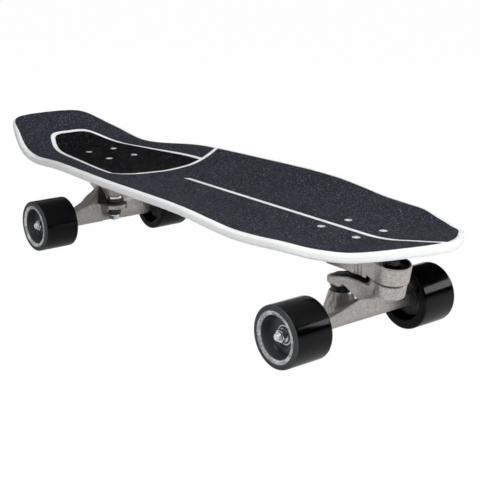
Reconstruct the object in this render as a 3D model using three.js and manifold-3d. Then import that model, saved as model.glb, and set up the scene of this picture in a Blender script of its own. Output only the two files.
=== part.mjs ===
// Surf skateboard: a squash-tailed deck with a grip in three panels, a swing-arm
// front truck, a plain rear truck and four wheels on bearings.
// Millimetres, +X towards the nose, +Y to the rider's left, +Z up.
// The origin lies on the floor under the middle of the deck's length and width.
import * as THREE from 'three';
import { mergeVertices } from 'three/addons/utils/BufferGeometryUtils.js';
import Module from 'manifold-3d';

const wasm = await Module();
wasm.setup();

// Driving sizes of the deck
const bolt_wheelbase = 486;      // between the middles of the two truck bolt patterns
const nose_overhang = 139.7;     // from the front bolt pattern to the tip of the nose
const tail_overhang = 189.8;     // from the rear bolt pattern to the end of the tail
const deck_width = 251;
const deck_thick = 10.6;
const rail_round = 4;            // radius of the rounded rail, above and below
const concave_depth = 14.8;      // how far the sides rise above the middle, at most
const flat_share = 0.34;         // share of the half width that stays flat across
const concave_power_share = 1.7; // how steeply the sides curve up, as an exponent
const kick_behind = 48.3;        // the tail kick starts this far behind the rear bolts
const kick_bend = 45;            // length of the curve into the kick
const kick_slope_share = 0.29;
const lift_ahead = 23.7;         // the nose starts to rise this far ahead of the front bolts
const lift_bend = 50;
const lift_slope_share = 0.2;

// Half outline from the middle of the tail to the tip of the nose:
// shares of the half length and of the half width
const outline_shares = [
  [-1, 0], [-0.996, 0.25], [-0.982, 0.43], [-0.957, 0.513], [-0.915, 0.576],
  [-0.768, 0.735], [-0.67, 0.778], [-0.577, 0.805], [-0.498, 0.842], [-0.4, 0.903],
  [-0.25, 0.952], [0.02, 0.99], [0.311, 1], [0.5, 0.976], [0.605, 0.937],
  [0.685, 0.888], [0.757, 0.806], [0.827, 0.7], [0.894, 0.553], [0.945, 0.355],
  [0.983, 0.165], [1, 0],
];
// Rise of the sides along the deck: shares of the half length and of the concave depth
const concave_shares = [
  [-0.65, 0], [-0.577, 0.135], [-0.523, 0.31], [-0.425, 0.62], [-0.327, 0.78],
  [-0.08, 0.89], [0.188, 1], [0.311, 0.92], [0.409, 0.68], [0.507, 0.43],
  [0.6, 0.44], [0.68, 0.5], [0.777, 0.27], [0.863, 0],
];
const outline_steps = 2;         // points taken on each stretch of the outline
const ring_shares = [0, 0.34, 0.68]; // rings from the middle line out to the rail
const rail_steps = 1;            // facets in each quarter of the rounded rail
const spine_margin = 60;         // the middle line stops this far from each end

// Driving sizes of the grip
const grip_thick = 0.9;
const grip_inset = 6.5;          // width of the bare rail round the grip
const stripe = 5.6;              // width of the bare stripes between the panels
const stringer_aside = -3.7;     // the long stripe runs a little to the right of the middle
const stringer_start = 183;      // it starts this far ahead of the rear bolts
const stringer_slant = 6;
const seam = 1.2;                // narrow seam that carries the curved stripe to the right rail
// Curved stripe across the deck, bulging towards the nose
const arc_ahead = 135.4;         // its foremost point, ahead of the rear bolts
const arc_sag = 44;              // how far it falls back on its way to the rails
const arc_power_share = 1.54;    // how it falls back, as an exponent
const arc_steps = 10;
// Tail pad, from its rear end forwards: shares of its length behind the curved stripe
// and of its greatest half width
const pad_length = 234;
const pad_half_width = 74;
const pad_shares = [
  [1, 0], [0.998, 0.26], [0.97, 0.419], [0.889, 0.554], [0.799, 0.655], [0.67, 0.745],
  [0.541, 0.808], [0.438, 0.85], [0.254, 0.94], [0.13, 0.985], [0, 1],
];
const pad_steps = 2;

// Driving sizes of the deck bolts
const bolts_along = 54;
const bolts_across = 41.3;
const bolt_radius = 2.4;
const bolt_head_radius = 4.5;
const bolt_head_cone = 2.2;
const bolt_tip = 3.2;            // thread left showing below the nut
const deck_nut_radius = 5.4;
const deck_nut_height = 4.4;

// Driving sizes of the wheels
const wheel_radius = 35;
const wheel_width = 50.6;
const wheel_aside = 13.9;        // from the end of a hanger to the middle of its wheel
const lip_radius = 34.3;
const lip_bevel = 1.8;
const face_inner_radius = 24;
const face_dish = 1.1;
const core_radius = 20.6;
const core_length = 24.6;
const core_web_radius = 8.4;
const bearing_radius = 11;
const bearing_width = 7;

// Driving sizes shared by the two trucks
const front_truck_height = 82.5; // from the axle up to the underside of the deck
const rear_truck_height = 79.7;
const axle_radius = 4;
const axle_past_wheel = 23.6;    // from the middle of a wheel to the end of its axle
const hanger_half = 82.2;        // half the length of a hanger
const hanger_end_radius = 8.6;
const axle_nut_radius = 7.3;
const axle_nut_height = 6.8;
const washer_radius = 7.6;
const washer_thick = 1;
const plate_thick = 7;
const kingpin_radius = 4.75;
const kingpin_head_radius = 8.2;
const kingpin_head_height = 6;
const kingpin_nut_radius = 8.2;
const kingpin_nut_height = 5.6;
const kingpin_tip = 1.2;
const ring_middle = 11;          // height of the bushing ring's middle over the axle
const ring_thick = 10;
const bushing_radius = 11.6;
const bushing_waist = 9.4;       // a bushing's narrow end
const bushing_low_end = 7.8;     // narrow end of the lower bushing, beside the nut
const bushing_low_height = 5.4;
const cup_washer_radius = 12.6;
const cup_lip = 2;               // rim of a cup washer round its bushing
const cup_washer_thick = 1.5;
const low_washer_radius = 9;
const nose_radius = 5.2;         // round nose of a hanger, in its pivot cup
const nose_root_radius = 7.2;
const nose_root_length = 10;     // length of the cone from the root to the round nose
const pivot_cup_wall = 1.8;
const pivot_cup_mouth = 7;       // from the middle of the nose back to the mouth of its cup
const mouth_room = 1.2;          // room between a hanger and the mouth
const nose_way = 30;             // length of the open way in for the nose
const housing_wall = 2.6;        // metal round a pivot cup
const lean_room = 1.9;           // room round a kingpin for the hanger to lean
const nut_room = 2.1;            // room for a socket round a deck nut
const head_room = 1;             // room round the sunk head of the front kingpin
const thin_wall = 1.2;
const hanger_wing = 66;          // half span of a hanger's wing, inside its collars

// Driving sizes of the front truck, out from the middle of its bolt pattern
const front_axle_out = 15.1;
const front_kingpin_out = -13.3;
const front_seat_share = 0.34545; // underside of the arm at the kingpin, a share of truck height
const front_nose_out = 38;
const front_nose_share = 0.40606; // middle of the hanger's nose, a share of truck height
const front_face_out = 23.7;     // flat front face of the hanger
const front_root = 26;           // from the middle of its nose back to the root
const front_wing_share = 0.27273; // top of the wing, a share of truck height
// Top of the wing from its end to the middle: shares of its half span and height
const front_wing_shares = [[0.76, 0.4], [0.49, 0.59], [0.15, 0.88], [0, 1]];
const blade_thick = 5;           // thickness of the wing above the axle
const hanger_sole = 5;           // flat underside of the front hanger, below the axle
const bell_radius = 19.5;        // foot of the bell that carries the bushing
const bell_middle_radius = 15.8;
const bell_top_radius = 13.4;
const bell_edge = 1.5;
const bell_wall = 4.6;
const boss_out = 58;             // swing axis at the parting of plate and arm
const boss_below_spring = 12.5;  // from the middle of the spring down to the parting
const boss_tilt = THREE.MathUtils.degToRad(9); // the swing axis leans out at the top
const boss_radius = 21.4;
const boss_rise_share = 0.2497;  // height of the plate's boss, a share of truck height
const arm_boss_radius = 20;
const arm_boss_drop_share = 0.19636; // depth of the arm's boss, a share of truck height
const boss_gap = 1.2;            // parting between plate and arm
const boss_pan_radius = 19.3;     // open pan in the top of the plate's boss
const boss_pan_depth = 7;
const pan_thick = 2.6;           // metal left between the pan and the arm's shaft
const thrust_radius = 16;
const thrust_bore = 11;
const thrust_thick = 3.4;
const spigot_radius = 9.4;       // hollow shaft of the arm inside the plate's boss
const swing_bolt_radius = 5;
const swing_head_radius = 8.4;
const swing_head_height = 5.4;
const swing_nut_radius = 9.6;
const swing_nut_height = 5.6;
const spine_half = 15;           // half width of the spring housing under the plate
const spine_drop_share = 0.30303; // depth of the spring housing, a share of truck height
const shoulder_drop = 4;         // fall of its shoulders towards the boss
const spine_back = -27;
const front_plate_back = -38;
const front_plate_ahead = 42;
const plate_half = 28;
const plate_corner = 6;
const arm_end_radius = 16;
const arm_end_thick = 6.5;
const arm_room = 4.8;            // room between the arm and the spring housing over it
const arm_hump_share = 0.75;     // share of its rise that the arm has made beside its free end
const arm_floor = 4;             // thickness left under the kingpin's sunk head
const arm_belly_out = 31.2;      // lowest place of the arm's underside
const arm_belly_share = 0.28364; // its height, a share of truck height
const arch_out = 6;              // crown of the arch under the arm
const arch_rise = 5;
const spring_radius = 6.4;       // middle of the wire
const spring_wire = 1.3;         // radius of the wire
const spring_turns = 6;
const spring_length = 40;
const spring_bore = 8.2;
const spring_drop_share = 0.456; // place of the spring down its housing
const spring_back = -22;
const plunger_radius = 7.6;
const plunger_room = 3;          // room between the plunger and the arm's shaft

// Driving sizes of the rear truck, out from the middle of its bolt pattern
const rear_axle_out = 11.7;
const rear_kingpin_out = -3.7;
const rear_seat_height = 27.5;
const rear_nose_out = 34.3;
const rear_nose_height = 37;
const rear_boss_radius = 12.4;   // foot of the kingpin boss
const rear_boss_top_radius = 17.5;
const rear_plate_half_length = 38;
const rear_pocket = 21;          // hollow of the rear hanger round the bushing
const rear_pocket_half = 12;     // half width of the hollow round the kingpin nut
const rear_root = 25;            // from the middle of the nose back to the root
const rear_boss_flare = 15;      // height over which the kingpin boss widens
const rear_ring_radius = 16;
const rear_wing_height = 41;
const rear_wing_shares = [
  [1, 0.24], [0.83, 0.34], [0.59, 0.48], [0.42, 0.66], [0.29, 0.8], [0.17, 1], [0, 1],
];

// Clearances
const gap = 0.3;                 // between faces that touch
const overrun = 2;               // how far a cutter runs past what it cuts
const fine = 24;                 // facets round a wheel
const round = 16;                // facets round a bearing, a bushing or a boss
const small = 10;                // facets round a pin
const hex = 6;

// Worked out from the sizes above
const half_length = (bolt_wheelbase + nose_overhang + tail_overhang) / 2;
const half_width = deck_width / 2;
const front_bolts = half_length - nose_overhang;
const rear_bolts = front_bolts - bolt_wheelbase;
const deck_slope = (front_truck_height - rear_truck_height) / bolt_wheelbase;
const rear_deck_top = wheel_radius + rear_truck_height + deck_thick;
const wheel_middle = hanger_half + wheel_aside;
const axle_reach = wheel_middle + axle_past_wheel;
const cutter_reach = front_truck_height + hanger_half; // reaches right through a truck
const front_seat_height = front_seat_share * front_truck_height;
const front_nose_height = front_nose_share * front_truck_height;
const front_wing_height = front_wing_share * front_truck_height;
const arm_belly_height = arm_belly_share * front_truck_height;
const arm_boss_drop = arm_boss_drop_share * front_truck_height;
const boss_rise = boss_rise_share * front_truck_height;
const spine_drop = spine_drop_share * front_truck_height;
const front_plate_top = front_truck_height - gap;
const front_plate_under = front_plate_top - plate_thick;
const spine_low = front_plate_under - spine_drop;
const spring_height = front_plate_under - spring_drop_share * spine_drop;
const boss_height = spring_height - boss_below_spring;
const pan_floor = boss_rise - boss_pan_depth;
const spigot_height = pan_floor - pan_thick;

const materials = {
  paint: new THREE.MeshStandardMaterial({ color: 0xeef2f0, roughness: 0.4 }),
  grip: new THREE.MeshStandardMaterial({ color: 0x3a3e48, roughness: 0.95 }),
  pad: new THREE.MeshStandardMaterial({ color: 0x1c1b20, roughness: 0.95 }),
  cast: new THREE.MeshStandardMaterial({ color: 0xa9a4a0, roughness: 0.5, metalness: 0.9 }),
  steel: new THREE.MeshStandardMaterial({ color: 0xc9ccd0, roughness: 0.25, metalness: 1 }),
  black_steel: new THREE.MeshStandardMaterial({ color: 0x17181a, roughness: 0.35, metalness: 0.8 }),
  urethane: new THREE.MeshStandardMaterial({ color: 0x0b0b0d, roughness: 0.18 }),
  core: new THREE.MeshStandardMaterial({ color: 0x131416, roughness: 0.4 }),
  rubber: new THREE.MeshStandardMaterial({ color: 0x101214, roughness: 0.5 }),
};

// A closed geometry as a solid that can be cut and joined
function solidOf(geometry, matrix = new THREE.Matrix4()) {
  let bare = geometry.clone();
  for (const name of Object.keys(bare.attributes)) {
    if (name !== 'position') bare.deleteAttribute(name);
  }
  bare = mergeVertices(bare.applyMatrix4(matrix), 1e-4);
  const kept = [];
  const index = bare.index.array;
  for (let i = 0; i < index.length; i += 3) {
    const [a, b, c] = [index[i], index[i + 1], index[i + 2]];
    if (a !== b && b !== c && c !== a) kept.push(a, b, c);
  }
  return new wasm.Manifold(new wasm.Mesh({
    numProp: 3,
    vertProperties: new Float32Array(bare.attributes.position.array),
    triVerts: new Uint32Array(kept),
  }));
}

// A solid back as a geometry
function geometryOf(solid) {
  const mesh = solid.getMesh();
  const geometry = new THREE.BufferGeometry();
  geometry.setAttribute('position', new THREE.BufferAttribute(mesh.vertProperties, 3));
  geometry.setIndex(new THREE.BufferAttribute(mesh.triVerts, 1));
  const flat = geometry.toNonIndexed();
  flat.computeVertexNormals();
  return flat;
}

function join(...solids) {
  return solids.reduce((sum, solid) => sum.add(solid));
}

function cut(body, ...tools) {
  return tools.reduce((rest, tool) => rest.subtract(tool), body);
}

function mesh(name, solid, material) {
  const made = new THREE.Mesh(geometryOf(solid), material);
  made.name = name;
  return made;
}

// Matrix that turns +Z to a direction in the XZ plane or along Y, and moves to a place
function frameAt(place, direction = new THREE.Vector3(0, 0, 1)) {
  const turn = new THREE.Quaternion().setFromUnitVectors(
    new THREE.Vector3(0, 0, 1), direction.clone().normalize());
  return new THREE.Matrix4().compose(place, turn, new THREE.Vector3(1, 1, 1));
}

// Solid of revolution about +Z from [radius, height] pairs, closed on itself
function turned(profile, facets, frame = new THREE.Matrix4()) {
  const points = profile.map(([radius, height]) => new THREE.Vector2(radius, height));
  points.push(points[0].clone());
  const geometry = new THREE.LatheGeometry(points, facets);
  geometry.rotateX(Math.PI / 2);
  const solid = solidOf(geometry, frame);
  return solid.volume() < 0 ? solidOf(flipped(geometry), frame) : solid;
}

function flipped(geometry) {
  const turnedOver = geometry.clone();
  const index = turnedOver.index.array;
  for (let i = 0; i < index.length; i += 3) {
    [index[i], index[i + 1]] = [index[i + 1], index[i]];
  }
  return turnedOver;
}

// Round bar or disc from one height to another along the frame's +Z
function bar(radius, low, high, facets, frame = new THREE.Matrix4()) {
  const geometry = new THREE.CylinderGeometry(radius, radius, high - low, facets);
  geometry.rotateX(Math.PI / 2);
  geometry.translate(0, 0, (low + high) / 2);
  return solidOf(geometry, frame);
}

// Ring, or a nut when it has six facets; its bore is always round
function tube(outer, inner, low, high, facets, frame) {
  return cut(bar(outer, low, high, facets, frame),
    bar(inner, low - overrun, high + overrun, Math.max(facets, small), frame));
}

// Block between two corners
function block([x0, y0, z0], [x1, y1, z1]) {
  const geometry = new THREE.BoxGeometry(x1 - x0, y1 - y0, z1 - z0);
  geometry.translate((x0 + x1) / 2, (y0 + y1) / 2, (z0 + z1) / 2);
  return solidOf(geometry);
}

// Prism: a plan outline in XY, between two heights
function plan(points, low, high) {
  const shape = new THREE.Shape(points.map(([x, y]) => new THREE.Vector2(x, y)));
  const geometry = new THREE.ExtrudeGeometry(shape, { depth: high - low, bevelEnabled: false });
  geometry.translate(0, 0, low);
  return solidOf(geometry);
}

// Prism: a side outline in XZ, the same distance to both sides of the middle
function side(points, half) {
  const shape = new THREE.Shape(points.map(([x, z]) => new THREE.Vector2(x, z)));
  const geometry = new THREE.ExtrudeGeometry(shape, { depth: 2 * half, bevelEnabled: false });
  geometry.translate(0, 0, -half);
  geometry.rotateX(Math.PI / 2);
  return solidOf(geometry);
}

// Prism: half a front outline in YZ from the middle outwards, mirrored, between two X
function front(points, near, far) {
  const other = points.filter(([y]) => y > 0).map(([y, z]) => [-y, z]).reverse();
  const shape = new THREE.Shape([...points, ...other].map(([y, z]) => new THREE.Vector2(y, z)));
  const geometry = new THREE.ExtrudeGeometry(shape, { depth: far - near, bevelEnabled: false });
  geometry.translate(0, 0, near);
  geometry.rotateY(Math.PI / 2);
  geometry.rotateX(Math.PI / 2);
  return solidOf(geometry);
}

// Plan outline round two circles on the X axis and their common tangents
function capsule(x0, r0, x1, r1, steps = 8) {
  const lean = Math.asin((r0 - r1) / (x1 - x0));
  const points = [];
  for (let i = 0; i <= steps; i += 1) {
    const angle = Math.PI / 2 - lean + (Math.PI + 2 * lean) * (i / steps);
    points.push([x0 + r0 * Math.cos(angle), r0 * Math.sin(angle)]);
  }
  for (let i = 0; i <= steps; i += 1) {
    const angle = -Math.PI / 2 + lean + (Math.PI - 2 * lean) * (i / steps);
    points.push([x1 + r1 * Math.cos(angle), r1 * Math.sin(angle)]);
  }
  return points;
}

// Smooth value along a table of [place, value] pairs, level at both ends
function along(pairs, place) {
  if (place <= pairs[0][0]) return pairs[0][1];
  if (place >= pairs[pairs.length - 1][0]) return pairs[pairs.length - 1][1];
  const i = pairs.findIndex(([at]) => at > place) - 1;
  const slope = (k) => {
    if (k <= 0 || k >= pairs.length - 1) return 0;
    return (pairs[k + 1][1] - pairs[k - 1][1]) / (pairs[k + 1][0] - pairs[k - 1][0]);
  };
  const span = pairs[i + 1][0] - pairs[i][0];
  const t = (place - pairs[i][0]) / span;
  const [t2, t3] = [t * t, t * t * t];
  return (2 * t3 - 3 * t2 + 1) * pairs[i][1] + (t3 - 2 * t2 + t) * span * slope(i)
    + (3 * t2 - 2 * t3) * pairs[i + 1][1] + (t3 - t2) * span * slope(i + 1);
}

// Height gained past the start of a bend that runs into a straight slope
function bendUp(distance, bend, slope) {
  if (distance <= 0) return 0;
  if (distance < bend) return (slope * distance * distance) / (2 * bend);
  return slope * (distance - bend / 2);
}

// Half outline of the deck as a smooth curve
const outline_curve = new THREE.CatmullRomCurve3(outline_shares.map(
  ([x, y]) => new THREE.Vector3(x * half_length, y * half_width, 0)), false, 'centripetal');

// Closed outline of the deck, moved in from the edge by a distance
function outline(inset) {
  const count = (outline_shares.length - 1) * outline_steps;
  const half = [];
  for (let i = 0; i <= count; i += 1) {
    const point = outline_curve.getPoint(i / count);
    const tangent = outline_curve.getTangent(i / count);
    const normal = i === 0 ? [-1, 0] : i === count ? [1, 0] : [-tangent.y, tangent.x];
    const y = i === 0 || i === count ? 0 : point.y - normal[1] * inset;
    half.push([point.x - normal[0] * inset, y]);
  }
  const other = half.slice(1, -1).map(([x, y]) => [x, -y]).reverse();
  return [...half, ...other];
}

const edge = outline(0);

// Half width of the deck at a place along it
function halfWidthAt(x) {
  const half = edge.slice(0, edge.length / 2 + 1);
  const i = Math.max(1, half.findIndex(([at]) => at >= x));
  const [[x0, y0], [x1, y1]] = [half[i - 1], half[i]];
  return y0 + ((y1 - y0) * (x - x0)) / (x1 - x0);
}

// Height of the deck's top at any place
function topAt(x, y) {
  const middle = rear_deck_top + deck_slope * (x - rear_bolts)
    + bendUp(rear_bolts - kick_behind - x, kick_bend, kick_slope_share)
    + bendUp(x - front_bolts - lift_ahead, lift_bend, lift_slope_share);
  const rise = concave_depth * along(concave_shares, x / half_length);
  const share = Math.min(1, Math.abs(y) / halfWidthAt(x));
  const side_share = Math.max(0, share - flat_share) / (1 - flat_share);
  return middle + rise * side_share ** concave_power_share;
}

// One closed body from rings of points, the first and last ring folded onto the middle line.
// The rings run out over the top and back underneath. The underside takes the other
// diagonal, so that a sheet lies evenly on the deck.
function ringed(rings) {
  const count = rings[0].length;
  const places = rings.flat(2);
  const faces = [];
  for (let k = 0; k + 1 < rings.length; k += 1) {
    for (let i = 0; i < count; i += 1) {
      const j = (i + 1) % count;
      const [a, b] = [k * count + i, k * count + j];
      const [c, d] = [a + count, b + count];
      if (k < rings.length / 2) faces.push(a, b, c, b, d, c);
      else faces.push(a, b, d, a, d, c);
    }
  }
  const geometry = new THREE.BufferGeometry();
  geometry.setAttribute('position', new THREE.Float32BufferAttribute(places, 3));
  geometry.setIndex(faces);
  return solidOf(geometry).volume() < 0 ? solidOf(flipped(geometry)) : solidOf(geometry);
}

// Plan places of the rings that share the deck's top and underside
const rail_start = outline(rail_round);
const flat_rings = ring_shares.map((share) => rail_start.map(([x, y]) => {
  const middle = THREE.MathUtils.clamp(x, spine_margin - half_length, half_length - spine_margin);
  return [middle + (x - middle) * share, y * share];
}));

function deckSolid() {
  const top = flat_rings.map((ring) => ring.map(([x, y]) => [x, y, topAt(x, y)]));
  const under = flat_rings.map((ring) => ring.map(([x, y]) => [x, y, topAt(x, y) - deck_thick]));
  const rail = [];
  for (let half = 0; half < 2; half += 1) {
    for (let k = 0; k <= rail_steps; k += 1) {
      const angle = (Math.PI / 2) * (half + k / rail_steps);
      const inset = outline(rail_round * (1 - Math.sin(angle)));
      const drop = half === 0 ? rail_round : deck_thick - rail_round;
      rail.push(inset.map(([x, y], i) => {
        const [sx, sy] = rail_start[i];
        return [x, y, topAt(sx, sy) - drop + rail_round * Math.cos(angle)];
      }));
    }
  }
  const body = ringed([...top, ...rail, ...under.reverse()]);
  return cut(body, ...boltPlaces().map(([x, y]) => boltBody(x, y, gap, overrun)));
}

// Sheet over the whole top of the deck that the grip panels are cut from
function gripSheet() {
  const rings = [...flat_rings, rail_start];
  const lift = (height) => rings.map((ring) => ring.map(([x, y]) => [x, y, topAt(x, y) + height]));
  return ringed([...lift(gap + grip_thick), ...lift(gap).reverse()]);
}

function boltPlaces() {
  const places = [];
  for (const middle of [front_bolts, rear_bolts]) {
    for (const along_side of [1, -1]) {
      for (const across_side of [1, -1]) {
        places.push([middle + (along_side * bolts_along) / 2, (across_side * bolts_across) / 2]);
      }
    }
  }
  return places;
}

// Underside of the plate that a deck bolt holds, over the floor
function plateUnderAt(x) {
  const truck_height = x > 0 ? front_truck_height : rear_truck_height;
  return wheel_radius + truck_height - gap - plate_thick;
}

// Countersunk bolt, or with room round it the hole that takes it
function boltBody(x, y, room, past) {
  const head_top = topAt(x, y) + gap + grip_thick;
  const head_low = head_top - bolt_head_cone - grip_thick;
  const tip = plateUnderAt(x) - deck_nut_height - bolt_tip;
  return turned([
    [0, head_top + past], [bolt_head_radius + room, head_top + past],
    [bolt_head_radius + room, head_top - grip_thick],
    [bolt_radius + room, head_low - room], [bolt_radius + room, tip - past], [0, tip - past],
  ], small, frameAt(new THREE.Vector3(x, y, 0)));
}

function deckBolts() {
  const names = ['front_deck_bolt', 'rear_deck_bolt'];
  return boltPlaces().map(([x, y], i) => {
    const nut_top = plateUnderAt(x) - gap;
    const nut = bar(deck_nut_radius, nut_top - deck_nut_height, nut_top, hex,
      frameAt(new THREE.Vector3(x, y, 0)));
    const name = `${names[Math.floor(i / 4)]}_${(i % 4) + 1}`;
    return mesh(name, join(boltBody(x, y, 0, 0), nut), materials.steel);
  });
}

// Place along the deck of the curved stripe's middle, at a place across it
function arcAt(y) {
  const share = Math.abs(y) / (half_width - grip_inset);
  return rear_bolts + arc_ahead - arc_sag * share ** arc_power_share;
}

// Outline behind (-1) or ahead (1) of the curved stripe, which is only a seam
// to the right of the tail pad
function arcSide(direction) {
  const points = [];
  for (let i = -arc_steps; i <= arc_steps; i += 1) {
    const y = (half_width * i) / arc_steps;
    const breadth = y < -pad_half_width ? seam : stripe;
    points.push([arcAt(y) + (direction * breadth) / 2, y]);
  }
  const end = direction * (half_length + overrun);
  const loop = [...points, [end, half_width], [end, -half_width]];
  return direction > 0 ? loop.reverse() : loop;
}

// Outline of the tail pad, grown or shrunk on all sides by a margin
function padOutline(margin) {
  const curve = new THREE.CatmullRomCurve3(pad_shares.map(([x, y]) => new THREE.Vector3(
    -x * (pad_length + margin), y * (pad_half_width + margin), 0)), false, 'centripetal');
  const half = curve.getPoints((pad_shares.length - 1) * pad_steps);
  const start = arcAt(pad_half_width);
  const ahead = arcAt(0) + overrun;
  const near = half.map((point) => [start + point.x, point.y]);
  const far = [...near].reverse().map(([x, y]) => [x, -y]);
  return [...far, ...near, [ahead, pad_half_width + margin], [ahead, -pad_half_width - margin]];
}

function gripPanels() {
  const [low, high] = [0, rear_deck_top + half_length];
  const holes = boltPlaces().map(([x, y]) => boltBody(x, y, gap, overrun));
  const inside = plan(outline(grip_inset), low, high);
  const sheet = gripSheet().intersect(inside);
  const ahead = plan(arcSide(1), low, high);
  const behind = plan(arcSide(-1), low, high);
  const stringer_from = rear_bolts + stringer_start;
  const [right, left] = [stringer_aside - stripe / 2, stringer_aside + stripe / 2];
  const stringer = plan([
    [stringer_from, right], [half_length, right], [half_length, left],
    [stringer_from + stringer_slant, left],
  ], low, high);
  const front_part = cut(sheet.intersect(ahead), stringer, ...holes);
  const tail_part = cut(sheet.intersect(behind), plan(padOutline(stripe / 2), low, high));
  const pad_part = cut(
    sheet.intersect(behind).intersect(plan(padOutline(-stripe / 2), low, high)), ...holes);
  return [
    mesh('grip_front', front_part, materials.grip),
    mesh('grip_tail', tail_part, materials.grip),
    mesh('grip_pad', pad_part, materials.pad),
  ];
}

// Wheel pieces are turned about +Z here, with the outer face up, and laid over later
function tyreProfile() {
  const [half, core_half] = [wheel_width / 2, core_length / 2];
  const outer = [
    [core_radius + gap, core_half], [face_inner_radius, half - face_dish],
    [face_inner_radius + face_dish, half], [lip_radius, half],
    [wheel_radius, half - lip_bevel],
  ];
  return [...outer, ...outer.map(([radius, height]) => [radius, -height]).reverse()];
}

function coreProfile() {
  const half = core_length / 2;
  const seat = half - gap - bearing_width - gap;
  return [
    [core_radius, half], [core_radius, -half], [bearing_radius + gap, -half],
    [bearing_radius + gap, -seat], [core_web_radius, -seat], [core_web_radius, seat],
    [bearing_radius + gap, seat], [bearing_radius + gap, half],
  ];
}

function wheelPieces(name, x, hand) {
  const axis = new THREE.Vector3(0, hand, 0);
  const frame = frameAt(new THREE.Vector3(x, hand * wheel_middle, wheel_radius), axis);
  const bearing_high = core_length / 2 - gap;
  const bearing = (place, high) => mesh(`${name}_${place}_bearing`, tube(
    bearing_radius, axle_radius + gap, high - bearing_width, high, round, frame), materials.steel);
  return [
    mesh(`${name}_tyre`, turned(tyreProfile(), fine, frame), materials.urethane),
    mesh(`${name}_core`, turned(coreProfile(), round, frame), materials.core),
    bearing('outer', bearing_high),
    bearing('inner', bearing_width - bearing_high),
  ];
}

// Axle nut with its washer, on the outside of each wheel
function axleNut(name, x, hand) {
  const frame = frameAt(new THREE.Vector3(x, 0, 0), new THREE.Vector3(0, hand, 0));
  const low = wheel_middle + core_length / 2;
  const nut_low = low + washer_thick;
  const body = join(bar(washer_radius, low, nut_low, round, frame),
    bar(axle_nut_radius, nut_low, nut_low + axle_nut_height, hex, frame));
  const bore = bar(axle_radius + gap, low - overrun, axle_reach + overrun, small, frame);
  return mesh(name, cut(body, bore), materials.steel);
}

function axle(name, x) {
  const frame = frameAt(new THREE.Vector3(x, 0, 0), new THREE.Vector3(0, 1, 0));
  return mesh(name, bar(axle_radius, -axle_reach, axle_reach, small, frame), materials.steel);
}

// Line on which a hanger leans: through the middle of its ring and its nose,
// measured from the middle of the nose
function leanFrame(kingpin_out, nose_out, nose_height) {
  const direction = new THREE.Vector3(nose_out - kingpin_out, 0, nose_height - ring_middle);
  return frameAt(new THREE.Vector3(nose_out, 0, nose_height), direction);
}

// Arc of [radius, height] pairs from the side to the top of a round nose
function roundTip(radius) {
  return [0, 1, 2, 3].map((i) => {
    const angle = (Math.PI / 2) * (i / 3);
    return [i === 3 ? 0 : radius * Math.cos(angle), radius * Math.sin(angle)];
  });
}

function nose(frame, root) {
  return turned([
    [0, -root], [nose_root_radius, -root], [nose_radius, nose_root_length - root],
    ...roundTip(nose_radius),
  ], small, frame);
}

const cup_inner = nose_radius + gap;
const cup_outer = cup_inner + pivot_cup_wall;
const housing_radius = cup_outer + gap + housing_wall;

function pivotCup(name, frame) {
  const outside = [[0, cup_outer], [cup_outer, cup_outer], [cup_outer, -pivot_cup_mouth]];
  const inside = [[cup_inner, -pivot_cup_mouth], ...roundTip(cup_inner)];
  return mesh(name, turned([...outside, ...inside], small, frame), materials.rubber);
}

function housing(frame) {
  return bar(housing_radius, -pivot_cup_mouth, cup_outer + gap + housing_wall, round, frame);
}

// Bore for the cup, and the wider way in for the nose
function housingBore(frame) {
  return join(
    bar(cup_outer + gap, -pivot_cup_mouth - overrun, cup_outer + gap, small, frame),
    bar(nose_radius + lean_room, -nose_way, -pivot_cup_mouth, small, frame),
  );
}

// What a hanger may not enter: all that lies past the mouth of its pivot cup
function pastMouth(frame) {
  return bar(cutter_reach, -pivot_cup_mouth - mouth_room, cutter_reach, round, frame);
}

// Kingpin, nut, two washers and two bushings on an upright line through the ring
function kingpinPieces(end, kingpin_out, seat, head_low) {
  const frame = frameAt(new THREE.Vector3(kingpin_out, 0, 0));
  const bore = kingpin_radius + gap;
  const ring_top = ring_middle + ring_thick / 2;
  const ring_low = ring_middle - ring_thick / 2;
  const cup_top = seat - gap;
  const cup_low = cup_top - cup_washer_thick;
  const lip = cup_washer_radius - cup_washer_thick;
  const low_bushing_low = ring_low - gap - bushing_low_height;
  const washer_top = low_bushing_low - gap;
  const nut_top = washer_top - cup_washer_thick;
  const nut_low = nut_top - kingpin_nut_height;
  const pin = join(
    bar(kingpin_radius, nut_low - kingpin_tip, head_low, small, frame),
    bar(kingpin_head_radius, head_low, head_low + kingpin_head_height, hex, frame));
  return [
    mesh(`${end}_kingpin`, pin, materials.black_steel),
    mesh(`${end}_kingpin_nut`, tube(kingpin_nut_radius, bore, nut_low, nut_top - gap, hex, frame),
      materials.steel),
    mesh(`${end}_upper_washer`, turned([
      [bore, cup_top], [cup_washer_radius, cup_top], [cup_washer_radius, cup_low - cup_lip],
      [lip, cup_low - cup_lip], [lip, cup_low], [bore, cup_low],
    ], round, frame), materials.steel),
    mesh(`${end}_lower_washer`,
      tube(low_washer_radius, bore, nut_top, washer_top, round, frame), materials.steel),
    mesh(`${end}_upper_bushing`, turned([
      [bore, cup_low - gap], [lip - gap, cup_low - gap], [lip - gap, cup_low - cup_lip - gap],
      [bushing_radius, ring_top + gap], [bore, ring_top + gap],
    ], round, frame), materials.rubber),
    mesh(`${end}_lower_bushing`, turned([
      [bore, ring_low - gap], [bushing_waist, ring_low - gap],
      [bushing_low_end, low_bushing_low], [bore, low_bushing_low],
    ], round, frame), materials.rubber),
  ];
}

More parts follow.
